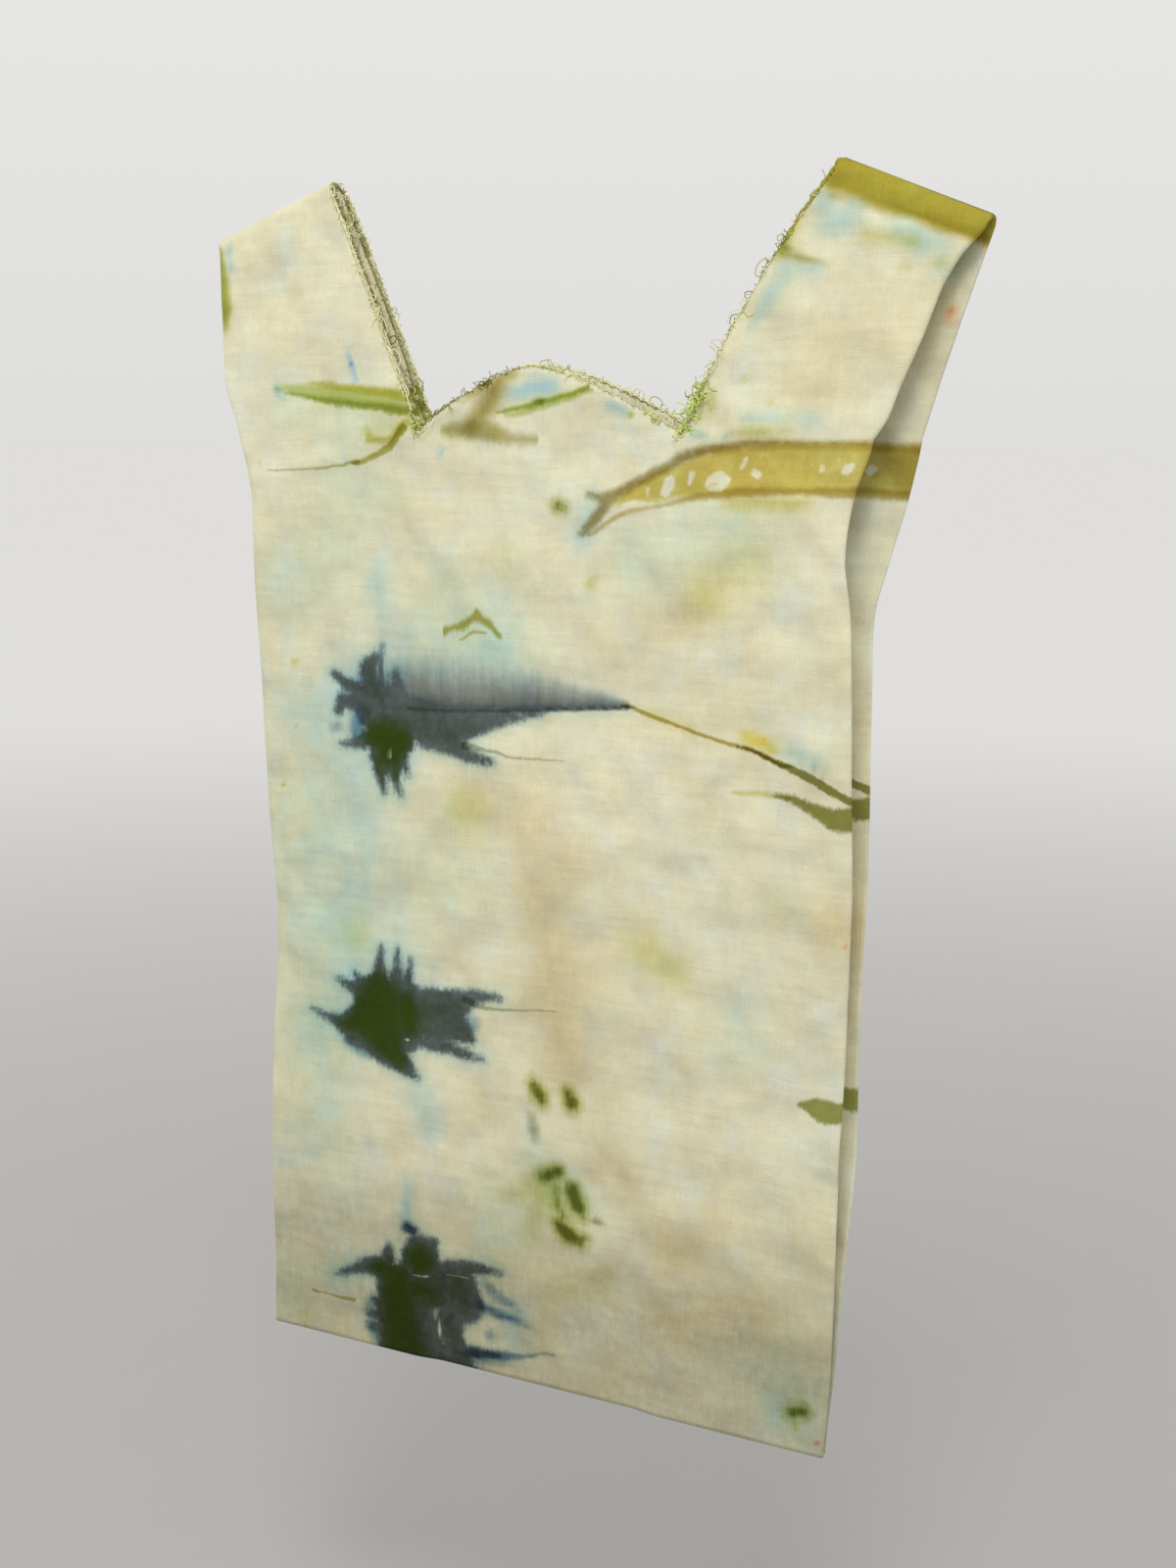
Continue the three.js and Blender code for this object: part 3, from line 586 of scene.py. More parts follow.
# Thin marks that run across the cloth: tint, softness and (x, z, half width) places from left to right
LINES = [
    ((0.62, 0.70, 0.32), 1.6, [(-30, -89, 0.2), (-12, -85, 1.2), (4, -80.6, 1.0), (15, -77.6, 0.4)]),
    ((0.58, 0.57, 0.54), 1.1, [(-80, -221.2, 0.5), (-40, -219.5, 0.5), (0, -215.8, 0.6), (20, -213.8, 0.4),
        (38, -212.2, 0)]),
    ((0.50, 0.53, 0.46), 0.9, [(-50, -236, 1.6), (-36, -237, 0.6), (-22, -239.5, 0.3), (3, -238.5, -0.2)]),
    ((0.50, 0.53, 0.48), 0.9, [(-50, -354.5, 1.6), (-37, -357, 0.6), (-24, -356, 0.3), (0, -353.5, -0.2)]),
    ((0.52, 0.43, 0.14), 0.9, [(30, -212, 0.4), (45, -214.7, 0.9), (61, -219.2, 0.6), (80, -223.4, 0.7),
        (97, -226.8, 0.9), (112, -231, 0.4)]),
    ((0.30, 0.30, 0.10), 0.9, [(86, -225, 0.0), (97, -227, 0.8), (110, -231.2, 1.4), (122, -235.5, 1.9),
        (136, -242, 1.7), (156, -249, 1.6)]),
    ((0.31, 0.32, 0.11), 1.5, [(104, -243.4, 0.1), (113, -244.4, 1.4), (124, -248.6, 2.8),
        (133, -251.2, 4.4), (144, -250, 4.8), (158, -249.5, 4.8)]),
    ((0.74, 0.74, 0.40), 1.6, [(84, -244.5, 0.3), (107, -243.2, 0.9), (112, -244, 0.3)]),
    ((0.37, 0.39, 0.14), 1.4, [(118, -376, 0.1), (124, -376.3, 2.8), (131, -377, 4.8), (138, -376.4, 4.3),
        (154, -376, 3.0)]),
    ((0.66, 0.57, 0.30), 1.6, [(13, -138.6, 0.9), (21, -134.5, 0.8), (30, -129.5, 0.8), (41, -127, 0.4),
        (54, -124, 0.6), (68, -120.8, 1.2), (84, -119.2, 1.6), (110, -118, 0.9), (130, -117.6, 1.8),
        (165, -118.0, 1.6)]),
    ((0.70, 0.62, 0.36), 2.4, [(64, -103, 0.6), (90, -99.5, 1.4), (120, -99, 1.0), (165, -98.5, 1.8)]),
    ((0.60, 0.56, 0.34), 3.4, [(-62, -96.0, 0.4), (-50, -94.5, 3.2), (-38, -95.4, 3.6), (-24, -98.8, 1.6),
        (-13, -98.8, 1.2)]),
    ((0.66, 0.73, 0.34), 2.6, [(-150, -77.8, 0.0), (-125, -79.5, 3.2), (-100, -81.5, 4.2),
        (-72, -84, 5.2)]),
    ((0.76, 0.72, 0.32), 1.8, [(-132, -75.2, 0.3), (-108, -77.4, 1.4), (-72, -81, 1.8)]),
    ((0.50, 0.56, 0.20), 1.8, [(-144, -80.2, 0.1), (-122, -83, 1.0), (-100, -85.2, 1.4),
        (-72, -87.5, 2.0)]),
    ((0.56, 0.52, 0.20), 1.0, [(-108, -111, 0.6), (-97, -108, 1.3), (-88, -103, 1.9), (-80, -95, 2.8)]),
    ((0.60, 0.58, 0.32), 0.7, [(-154, -115, 0.0), (-141, -114.5, 0.3), (-118, -112.6, 0.5),
        (-104, -110.2, 0.8)]),
    ((0.48, 0.56, 0.16), 1.1, [(-34, -87.6, 0.2), (-24, -86, 0.8), (-8, -82, 1.1), (4, -79, 0.8),
        (13, -76.4, 0.9)]),
    ((0.56, 0.50, 0.16), 1.9, [(-60, -184.6, 1.8), (-55, -182.8, 1.0), (-50, -181.4, 2.0),
        (-46, -178.8, 1.4), (-43, -176.8, 2.8), (-40, -178.4, 1.4), (-36, -180.2, 1.8),
        (-30, -185.5, 0.3)]),
    ((0.70, 0.64, 0.28), 0.8, [(-52, -188.2, 0.2), (-45, -184.4, 0.6), (-38, -184.2, 0.3)]),
    ((0.56, 0.54, 0.26), 0.8, [(-140, -516.6, 0.9), (-136, -517, 0.3), (-115, -517, 0.8)]),
    ((0.50, 0.60, 0.74), 1.2, [(-50, -529.6, 2.6), (-34, -528.2, 2.0), (-22, -526, 1.0), (-4, -521, 0.1)]),
]
# Depth of a place that is far from every stroke, and the most that one cloud covers
NO_DYE = -40.0
MOST_GLOW = 0.9


def legs(stroke):
    """The straight legs of a stroke; a single place counts as one leg."""
    places = stroke if len(stroke) > 1 else stroke * 2
    return zip(places[:-1], places[1:])


def stroke_depth(strokes, x, z):
    """How far inside the nearest stroke a place is; negative outside. Millimetres."""
    best = np.full(x.shape, NO_DYE)
    for stroke in strokes:
        for (x0, z0, r0), (x1, z1, r1) in legs(stroke):
            near, t = segment(x, z, x0, z0, x1, z1)
            best = np.maximum(best, mix(r0, r1, t) - near)
    return best


def stroke_glow(strokes, x, z):
    """A soft cloud round each stroke, 0 to 1."""
    clear = np.ones(x.shape)
    for stroke in strokes:
        glow = np.zeros(x.shape)
        for (x0, z0, r0), (x1, z1, r1) in legs(stroke):
            near, t = segment(x, z, x0, z0, x1, z1)
            glow = np.maximum(glow, np.exp(-((near / mix(r0, r1, t)) ** 2)))
        clear *= 1 - MOST_GLOW * glow
    return 1 - clear


def feather(x, z):
    """1 on the crisp lower line of the feathered band, falling to 0 at its upper limit."""
    places, line, height = zip(*FEATHER)
    above = z - np.interp(x, places, line)
    ends = smooth(places[0] - 3, places[0] + 6, x) * (1 - smooth(places[-1] - 2, places[-1] + 3, x))
    share = 1 - above / np.interp(x, places, height)
    band = np.where(above > 0, np.maximum(share, -1), 1 + above / LOWER_EDGE)
    return band.clip(-1, 1) * ends - (1 - ends)


def stains_with_painted_light(x, z):
    """What the marks in colours of their own take out of the light, with the painted shade among them, and
    what the painted highlight adds, as minus the logarithm of each colour's share.
    """
    taken = np.zeros(x.shape + (3,))
    for softness, tint, strokes in STAINS_AND_PAINTED_LIGHT:
        amount = smooth(-softness, softness, stroke_depth(strokes, x, z))
        taken -= amount[:, None] * np.log(tint)
    return taken


def dye_and_painted_light_attributes(x, z):
    """The dye that soaked into each place of the flat cloth, with the painted shade and highlight that go
    with the marks in colours of their own.
    """
    def depth(*marks):
        return [stroke_depth(mark, x, z) for mark in marks]

    def glow(*clouds):
        return [stroke_glow(cloud, x, z) for cloud in clouds]

    groups = {
        "dye_dark": depth(SLATE, GREEN, OLIVE),
        "dye_bright": depth(GOLD, RESIST, BLUE),
        "cloud_cool": glow(TURQUOISE, MINT) + [feather(x, z)],
        "cloud_warm": glow(PEACH, STRAW) + depth(MOSS),
    }
    # the last attribute holds the marks in colours of their own, with the painted shade and highlight
    return {name: np.stack(values, -1) for name, values in groups.items()} | {"stain_painted_light": stains_with_painted_light(x, z)}


# ---------------------------------------------------------------- materials
# Curves run within 0 to 1: these are the millimetres of width, height and half width that they cover
CURVE_SPAN = 480.0
LEVEL_SPAN = 600.0
WIDTH_SPAN = 20.0
# Past its ends a line gets a half width far below zero, within this distance
LINE_END = 2.0
NO_LINE = -9


class Nodes:
    """Short names for the shader nodes of one material."""

    def __init__(self, name):
        self.material = bpy.data.materials.new(name)
        self.material.use_nodes = True
        self.tree = self.material.node_tree
        self.shader = self.tree.nodes["Principled BSDF"]

    def link(self, value, socket):
        if isinstance(value, bpy.types.NodeSocket):
            self.tree.links.new(value, socket)
        elif value is not None:
            socket.default_value = value

    def surface(self, **values):
        """Set sockets of the material's own shader; a name's underscores stand for spaces."""
        for name, value in values.items():
            self.link(value, self.shader.inputs[name.replace("_", " ")])

    def add(self, kind, output=0, inputs=None, **settings):
        node = self.tree.nodes.new(kind)
        for key, value in settings.items():
            setattr(node, key, value)
        for key, value in (inputs or {}).items():
            self.link(value, node.inputs[key])
        return node.outputs[output]

    def math(self, operation, a, b=None, c=None):
        return self.add("ShaderNodeMath", inputs={0: a, 1: b, 2: c}, operation=operation)

    def plus(self, a, b):
        return self.math("ADD", a, b)

    def times(self, a, b):
        return self.math("MULTIPLY", a, b)

    def times_plus(self, a, b, c):
        return self.math("MULTIPLY_ADD", a, b, c)

    def step(self, value, low, high, bottom=0.0, top=1.0):
        return self.add("ShaderNodeMapRange", interpolation_type="SMOOTHSTEP",
                        inputs={"Value": value, "From Min": low, "From Max": high,
                                "To Min": bottom, "To Max": top})

    def read(self, name):
        """A vertex attribute of the mesh."""
        return self.add("ShaderNodeAttribute", "Vector", attribute_name=name)

    def split(self, vector):
        node = self.tree.nodes.new("ShaderNodeSeparateXYZ")
        self.link(vector, node.inputs[0])
        return tuple(node.outputs)

    def vector(self, operation, a, b=None, c=None):
        return self.add("ShaderNodeVectorMath", inputs={0: a, 1: b, 2: c}, operation=operation)

    def scaled(self, vector, scale, offset=(0, 0, 0)):
        return self.vector("MULTIPLY_ADD", vector, scale, offset)

    def shaded(self, colour, amount):
        return self.add("ShaderNodeVectorMath", operation="SCALE", inputs={0: colour, "Scale": amount})

    def noise(self, vector, scale=1.0, detail=3.0, rough=0.55):
        value = self.add("ShaderNodeTexNoise", "Fac", inputs={
            "Vector": vector, "Scale": scale, "Detail": detail, "Roughness": rough})
        return self.times_plus(value, 2.0, -1.0)

    def cloth_noise(self, place, scale_x, scale_z, detail=3.0, rough=0.55, offset=(0, 0)):
        """Noise over the flat cloth, different on each layer."""
        return self.noise(self.scaled(place, (scale_x, scale_z, 1), (*offset, 0)), detail=detail, rough=rough)

    def bump(self, height, strength, distance):
        normal = self.add("ShaderNodeBump",
                          inputs={"Height": height, "Strength": strength, "Distance": distance})
        self.surface(Normal=normal)

    def curve(self, value, knots):
        """A smooth function through knots, all within 0 to 1."""
        node = self.tree.nodes.new("ShaderNodeFloatCurve")
        points = node.mapping.curves[0].points
        while len(points) < len(knots):
            points.new(0.5, 0.5)
        for point, at in zip(points, knots):
            point.location = at
            point.handle_type = "AUTO_CLAMPED"
        node.mapping.extend = "HORIZONTAL"
        node.mapping.update()
        self.link(value, node.inputs["Value"])
        return node.outputs[0]

    def line(self, x, z, wander, softness, knots):
        """How much of a place a thin wandering line covers."""
        place = self.times_plus(x, 1 / CURVE_SPAN, 0.5)
        first, last = knots[0], knots[-1]
        ends = [(first[0] - LINE_END, first[1], NO_LINE), *knots, (last[0] + LINE_END, last[1], NO_LINE)]
        level = self.curve(place, [(kx / CURVE_SPAN + 0.5, kz / LEVEL_SPAN + 1) for kx, kz, _ in ends])
        width = self.curve(place, [(kx / CURVE_SPAN + 0.5, r / WIDTH_SPAN + 0.5) for kx, _, r in ends])
        middle = self.times_plus(level, LEVEL_SPAN, -LEVEL_SPAN)
        half = self.times_plus(width, WIDTH_SPAN, -0.5 * WIDTH_SPAN)
        away = self.math("ABSOLUTE", self.math("SUBTRACT", z, middle))
        inside = self.plus(self.math("SUBTRACT", half, away), wander)
        return self.step(inside, -softness, softness * 0.6)

    def mixed(self, under, over, amount, blend_type="MIX"):
        node = self.tree.nodes.new("ShaderNodeMix")
        node.data_type = "RGBA"
        node.blend_type = blend_type
        wanted = {"Factor_Float": amount, "A_Color": under, "B_Color": over}
        for socket in node.inputs:
            if socket.identifier in wanted:
                value = wanted[socket.identifier]
                self.link((*value, 1) if isinstance(value, tuple) else value, socket)
        return next(socket for socket in node.outputs if socket.identifier == "Result_Color")

    def dye(self, under, amount, tint):
        """Multiply a colour by a tint where the dye is."""
        return self.mixed(under, tint, amount, "MULTIPLY")


CLOTH_PALE = (0.755, 0.745, 0.545)
CLOTH_WARM = (0.73, 0.685, 0.46)
CLOTH_COOL = (0.70, 0.74, 0.62)
OLIVE_TINT = (0.33, 0.265, 0.05)
GOLD_TINT = (0.70, 0.585, 0.155)
GOLD_LIGHT = (0.90, 0.82, 0.31)
MOSS_SOFT = (0.58, 0.62, 0.26)
MOSS_TINT = (0.22, 0.25, 0.05)
GREEN_DYE = (0.032, 0.056, 0.0)
SLATE_DYE = (0.048, 0.061, 0.038)
SLATE_THIN = (0.105, 0.126, 0.130)
WASH_TINT = (0.48, 0.56, 0.68)
BLUE_TINT = (0.42, 0.57, 0.70)
HALO_TINT = (0.72, 0.88, 0.94)
VIOLET_TINT = (0.60, 0.72, 0.86)
DUSK_TINT = (0.43, 0.385, 0.39)
TURQUOISE_TINT = (0.76, 0.91, 1.0)
MINT_TINT = (0.86, 0.955, 0.95)
PEACH_TINT = (0.90, 0.82, 0.69)
STRAW_TINT = (0.87, 0.86, 0.56)
# Most that the noise may fray a thin line, and the turn of the weave for each millimetre
MOST_FUZZ = 0.62
WEAVE_TURN = math.pi / 0.45


class Cotton(Nodes):
    """Dyed plain-weave cotton; every noise is read at the place on the flat cloth."""

    def __init__(self, name):
        super().__init__(name)
        self.place = place = self.read("place")
        self.broad = self.cloth_noise(place, 0.016, 0.012, 4)
        self.patch = self.cloth_noise(place, 0.05, 0.035, 5, 0.6, (3, 9))
        self.fibre = self.cloth_noise(place, 0.75, 0.07, 3, 0.6)
        self.bleed = self.cloth_noise(place, 0.22, 0.2, 5, 0.65, (5, 1))
        self.speck = self.cloth_noise(place, 1.6, 1.6, 2)
        self.spike = self.cloth_noise(place, 0.62, 0.34, 6, 0.72, (8, 3))
        self.comb = self.cloth_noise(place, 0.22, 0.02, 4, 0.6, (4, 4))
        self.ragged = self.times_plus(self.bleed, 1.7, self.times(self.speck, 0.45))
        self.fibrous = self.times_plus(self.fibre, 1.5, self.ragged)
        self.x, self.z, _ = self.split(place)

    def edge(self, depth, wander, spread, strength, soft=0.6):
        """Cover of a mark whose edge wanders, spread outwards and soft inwards, in millimetres."""
        return self.step(self.plus(depth, wander), -spread, soft, 0, strength)

    def ground(self, clouds):
        colour = self.mixed(CLOTH_PALE, CLOTH_WARM, self.step(self.broad, -0.45, 0.35))
        colour = self.mixed(colour, CLOTH_COOL, self.step(self.patch, -0.15, 0.55, 0, 0.9))
        uneven = self.times_plus(self.times_plus(self.fibre, 0.35, self.patch), 0.75, 0.85)
        for cloud, tint, strength in clouds:
            amount = self.times(self.times(cloud, uneven), strength)
            colour = self.dye(colour, self.step(amount, 0.0, 1.0), tint)
        return colour

    def feathers(self, colour, feathered):
        streaked = self.times_plus(self.comb, 0.20, self.times_plus(self.bleed, 0.10, feathered))
        for low, high, strength, tint in ((-0.10, 0.55, 0.97, VIOLET_TINT), (0.10, 0.85, 0.97, DUSK_TINT),
                                          (0.70, 1.02, 0.6, DUSK_TINT)):
            colour = self.dye(colour, self.step(streaked, low, high, 0, strength), tint)
        return colour

    def leaves(self, colour, gold, olive, keep):
        """The golden band with its olive outline."""
        fill = self.times(self.edge(gold, self.ragged, 3.0, 0.96, 2.2), keep)
        lit = self.step(self.plus(self.bleed, self.patch), -0.2, 0.9, 0, 0.8)
        colour = self.dye(colour, fill, self.mixed(GOLD_TINT, GOLD_LIGHT, lit))
        uneven = self.plus(self.times(self.patch, 1.3), self.times(self.fibre, 0.5))
        streak = self.step(uneven, -0.8, 0.9, 0.8, 1)
        outline = self.times(self.times(self.edge(olive, self.ragged, 2.6, 0.95, 1.0), keep), streak)
        return self.dye(colour, outline, OLIVE_TINT)

    def drops(self, colour, moss, blue):
        for depth, spread, strength, soft, tint in (
                (moss, 4.6, 0.95, 1.5, MOSS_SOFT), (moss, 0.8, 0.95, 3.2, MOSS_TINT),
                (blue, 3.4, 0.9, 2.4, BLUE_TINT)):
            colour = self.dye(colour, self.edge(depth, self.fibrous, spread, strength, soft), tint)
        return colour

    def blots(self, colour, slate, green, keep):
        """Dark blots: a pale halo, a blue wash at the rim, slate ink and a green core."""
        halo = self.edge(slate, self.fibrous, 7.5, 0.75, 0.5)
        colour = self.dye(colour, self.times(halo, keep), HALO_TINT)
        uneven = self.times_plus(self.plus(self.patch, self.bleed), 1.1, self.times(slate, 0.10))
        ink = self.mixed(SLATE_THIN, SLATE_DYE, self.step(uneven, -0.55, 1.15))
        rim = self.times_plus(self.ragged, 0.7, self.times(self.fibre, 0.6))
        rim = self.times_plus(self.spike, 2.6, rim)
        colour = self.dye(colour, self.times(self.edge(slate, rim, 3.2, 0.85, 0.8), keep), WASH_TINT)
        colour = self.mixed(colour, ink, self.times(self.edge(slate, rim, 1.7, 0.96, 1.3), keep))
        core = self.times(self.edge(green, self.fibrous, 5.5, 0.90, 4.0), keep)
        return self.mixed(colour, GREEN_DYE, self.times(core, self.edge(slate, rim, 1.6, 1.0, 1.2)))

    def lines(self, colour):
        sway = self.times_plus(self.patch, 1.6, self.times_plus(self.bleed, 0.7, self.z))
        fuzz = self.times_plus(self.spike, 3.4, self.times(self.ragged, 0.9))
        for tint, softness, knots in LINES:
            mean_width = sum(r for _, _, r in knots) / len(knots)
            wander = self.times(fuzz, min(mean_width / 3, MOST_FUZZ))
            colour = self.dye(colour, self.line(self.x, sway, wander, softness, knots), tint)
        return colour

    # Multiplies in the marks in colours of their own, with the painted shade toward the hem and the painted
    # highlight
    def apply_stains_and_painted_light(self, colour):
        depth = self.times_plus(self.bleed, 0.45, self.times_plus(self.fibre, 0.22, 1.0))
        absorbed = self.shaded(self.read("stain_painted_light"), self.times(depth, -1.0))
        left = self.vector("POWER", (math.e,) * 3, absorbed)
        return self.vector("MULTIPLY", colour, left)

    def colour(self):
        """Pale cloth with all its dye and its painted shade and highlight, from the attributes of the mesh.
        """
        slate, green, olive = self.split(self.read("dye_dark"))
        gold, resist, blue = self.split(self.read("dye_bright"))
        turquoise, mint, feathered = self.split(self.read("cloud_cool"))
        peach, straw, moss = self.split(self.read("cloud_warm"))
        colour = self.ground(((peach, PEACH_TINT, 0.8), (straw, STRAW_TINT, 0.8),
                              (mint, MINT_TINT, 1.0), (turquoise, TURQUOISE_TINT, 1.0)))
        colour = self.feathers(colour, feathered)
        keep = self.step(self.plus(resist, self.times(self.ragged, 0.35)), -0.8, 0.6, 1, 0.06)
        colour = self.leaves(colour, gold, olive, keep)
        colour = self.drops(colour, moss, blue)
        colour = self.blots(colour, slate, green, keep)
        return self.apply_stains_and_painted_light(self.lines(colour))

    def weave(self):
        """Plain weave: where warp and weft cross over and under, and the slubs in both."""
        wobble = self.cloth_noise(self.place, 0.3, 0.3, 2)
        warp = self.math("SINE", self.times_plus(wobble, 0.8, self.times(self.x, WEAVE_TURN)))
        weft = self.math("SINE", self.times_plus(wobble, -0.8, self.times(self.z, WEAVE_TURN)))
        slub_warp = self.cloth_noise(self.place, 1.7, 0.05)
        slub_weft = self.cloth_noise(self.place, 0.05, 1.7, offset=(7, 2))
        return self.times(warp, weft), self.math("MAXIMUM", slub_warp, slub_weft)


def cotton_material():
    n = Cotton("dyed_cotton")
    crossing, slub = n.weave()
    shade = n.times_plus(crossing, 0.07, n.times_plus(slub, 0.13, 0.955))
    for weight, cloud in (
            (0.13, n.cloth_noise(n.place, 0.16, 0.13, 5, 0.65, (9, 6))),
            (0.15, n.cloth_noise(n.place, 0.95, 0.95, 4, 0.75, (2, 4))),
            (0.12, n.cloth_noise(n.place, 0.03, 0.26, 4, 0.6, (6, 1)))):
        shade = n.times_plus(cloud, weight, shade)
    crumple = n.cloth_noise(n.place, 0.085, 0.07, 3, 0.45, (1, 8))
    soft_fold = n.cloth_noise(n.place, 0.036, 0.03, 1, 0.3, (3, 2))
    waves = n.times_plus(crumple, 0.40, n.times(soft_fold, 4.6))
    n.bump(n.plus(n.times(crossing, 0.02), n.times_plus(slub, 0.08, waves)), 1.0, MM)
    n.surface(Base_Color=n.shaded(n.colour(), shade), Roughness=n.step(slub, -0.5, 0.8, 0.86, 0.97),
              Specular_IOR_Level=0.045, Sheen_Weight=0.02, Sheen_Roughness=0.6)
    return n.material


def yarn_material(name, twist):
    """Spun thread, its colour carried by each strand of the mesh."""
    n = Nodes(name)
    place = n.read("place")
    ply = n.add("ShaderNodeTexWave", "Fac", bands_direction="DIAGONAL",
                inputs={"Vector": n.scaled(place, (twist,) * 3), "Scale": 1.0, "Distortion": 1.5})
    fuzz = n.noise(n.scaled(place, (2.2,) * 3))
    shade = n.times_plus(fuzz, 0.10, n.times_plus(ply, 0.22, 0.84))
    n.bump(ply, 0.5, 0.1 * MM)
    n.surface(Base_Color=n.shaded(n.read("strand_colour"), shade), Roughness=0.92,
              Specular_IOR_Level=0.2, Sheen_Weight=0.15)
    return n.material


# ---------------------------------------------------------------- cloth
COTTON = cotton_material()
THREADS = {slot: yarn_material(slot, twist) for slot, twist in (("loose_yarn", 1.6), ("sewing_thread", 2.2))}
LAYER_OFFSET = 0.37


def build_cloth(face, name):
    """One cloth, and its raw edges as runs of points and flat places."""
    points, flat, quads, runs = cloth_surface(face)
    if face > 0:
        quads = quads[:, ::-1]
    solid, faces = thicken(points, quads, CLOTH)
    flat2 = np.concatenate([flat, flat])
    if face > 0:
        drift = [3 * lattice(*flat2.T, 40, 40, seed) for seed in (71, 72)]
        flat2 = flat2 + np.stack(drift, -1)
    layer = np.repeat([0.0, 1.0], len(flat)) + (0 if face < 0 else 10)
    obj = make_piece(f"{name}_cloth", solid, faces.tolist(), COTTON, f"cotton_{name}",
                     place=np.column_stack([flat2, layer * LAYER_OFFSET]), **dye_and_painted_light_attributes(*flat2.T))
    return obj, {key: (points[ids], flat[ids]) for key, ids in runs.items()}


# ---------------------------------------------------------------- threads
def tube(path, radius, sides=5):
    """A closed thread along a line of points."""
    tangents = unit_rows(np.gradient(path, axis=0))
    turn = np.arange(sides) * 2 * np.pi / sides
    rings = []
    normal = np.cross(tangents[0], (0.31, 0.52, 0.79))
    for here, tangent in zip(path, tangents):
        normal = unit(normal - tangent * normal.dot(tangent))
        across = np.cross(tangent, normal)
        rings.append(here + radius * (np.cos(turn)[:, None] * normal + np.sin(turn)[:, None] * across))
    points = np.concatenate(rings)
    number = np.arange(len(points)).reshape(-1, sides)
    after = np.roll(number, -1, 1)
    quads = np.stack([number[:-1], after[:-1], after[1:], number[1:]], -1).reshape(-1, 4).tolist()
    return points, quads + [number[0, ::-1].tolist(), number[-1].tolist()]


def build_threads(node, strands, slot):
    """One piece made of many thin strands. Each strand is (path, radius, colour)."""
    points, faces, colours = [], [], []
    start = 0
    for path, radius, colour in strands:
        verts, polys = tube(path, radius)
        points.append(verts)
        faces += [[i + start for i in poly] for poly in polys]
        colours.append(np.tile(colour, (len(verts), 1)))
        start += len(verts)
    points = np.concatenate(points)
    make_piece(node, points, faces, THREADS[slot], slot,
               strand_colour=np.concatenate(colours), place=points)


def length_along(points):
    steps = np.linalg.norm(np.diff(points, axis=0), axis=1)
    return np.concatenate([[0], np.cumsum(steps)])


def point_at(s, along, points):
    return np.stack([np.interp(s, along, column) for column in points.T], -1)


# Olive dye that soaked into the mouth's edge; for the yarns at the edges between the outer layers, olive dye
# together with painted shade of the gap between them
HUMP_OLIVE = np.array([0.50, 0.46, 0.20])
FOLD_OLIVE_AND_SHADE = np.array([0.40, 0.37, 0.17])
YARN_OLIVE = np.array([0.74, 0.72, 0.30])
YARN_PALE = np.array([1, 0.99, 0.84])
TANGLE_TINT = np.array([0.80, 0.92, 0.46])
YARN_RADIUS = 0.24
# Length left out at each end of a raw edge, and the reach over which its direction is taken
EDGE_MARGIN = 0.6
TANGENT_REACH = 1.5


def hump_olive(x, z):
    """How far a place lies on the olive half of the mouth's rise."""
    return smooth(-66, -58, x) * (1 - smooth(-32, -14, x)) * smooth(-102, -96, z)


def edge_colours(flat):
    """Colour of the dye at each place of a raw edge, with the painted shade and highlight among the marks in
    colours of their own.
    """
    x, z = flat.T
    layers = [(tint, stroke_glow(strokes, x, z))
              for strokes, tint in ((TURQUOISE, TURQUOISE_TINT), (MINT, MINT_TINT), (STRAW, STRAW_TINT))]
    for strokes, tint, reach in ((OLIVE, OLIVE_TINT, 5), (GOLD, GOLD_TINT, 4), (MOSS, MOSS_TINT, 3)):
        layers.append((tint, 0.85 * smooth(-reach, 1, stroke_depth(strokes, x, z))))
    for softness, tint, strokes in STAINS_AND_PAINTED_LIGHT:
        layers.append((tint, smooth(-softness - 1, softness, stroke_depth(strokes, x, z))))
    layers.append((HUMP_OLIVE, hump_olive(x, z)))
    colour = np.tile(np.array(CLOTH_PALE), (len(x), 1))
    for tint, amount in layers:
        colour = mix(colour, colour * tint, amount[:, None])
    return colour


def yarn_colour(rng, colour):
    """Some yarns took up more olive than the cloth they come from; the others are drawn paler than their
    cloth, painted light against the shade the thin strands cast on each other.
    """
    olive = rng.uniform() < 0.25
    # painted light: the paler yarns are lifted 5 to 30 percent above their cloth
    return colour * (YARN_OLIVE if olive else rng.uniform(1.05, 1.3) * YARN_PALE)


def outward(here, panel):
    """Direction out of the cloth at a raw edge: away from the strap, or up over a panel's mouth."""
    x, _, z = here
    hump_left, hump_right = centre_x(z) - NOTCH_HALF, centre_x(z) + NOTCH_HALF
    over_mouth = float(smooth(hump_left - 1, hump_left + 8, x)
                       * (1 - smooth(hump_right - 8, hump_right + 1, x)))
    top = NOTCH_Z + HUMP_RISE
    low = 1 - float(smooth(top - 6, top + 2, z)) if panel else 0.0
    across = np.array([1.0 if x < MOUTH_X else -1.0, 0, 0.12])
    return mix(across, np.array([0.0, 0.0, 1.0]), over_mouth * low)


class RawEdge:
    """A cut edge of a cloth, from which its yarns come loose."""

    def __init__(self, run, panel):
        self.points, flat = run
        self.panel = panel
        self.along = length_along(self.points)
        self.total = self.along[-1]
        self.colours = edge_colours(flat)

    def at(self, s):
        """Place, direction along the edge, direction out of the cloth, and dye."""
        s = np.clip(s, EDGE_MARGIN, self.total - EDGE_MARGIN)
        here, ahead, behind = (point_at(s + step, self.along, self.points)
                               for step in (0, TANGENT_REACH, -TANGENT_REACH))
        tangent = unit(ahead - behind)
        out = outward(here, self.panel)
        out = unit(out - tangent * out.dot(tangent))
        dye = self.colours[min(np.searchsorted(self.along, s), len(self.along) - 1)]
        return here, tangent, out, dye

    def nearest(self, x, z):
        return self.along[np.argmin(np.hypot(self.points[:, 0] - x, self.points[:, 2] - z))]


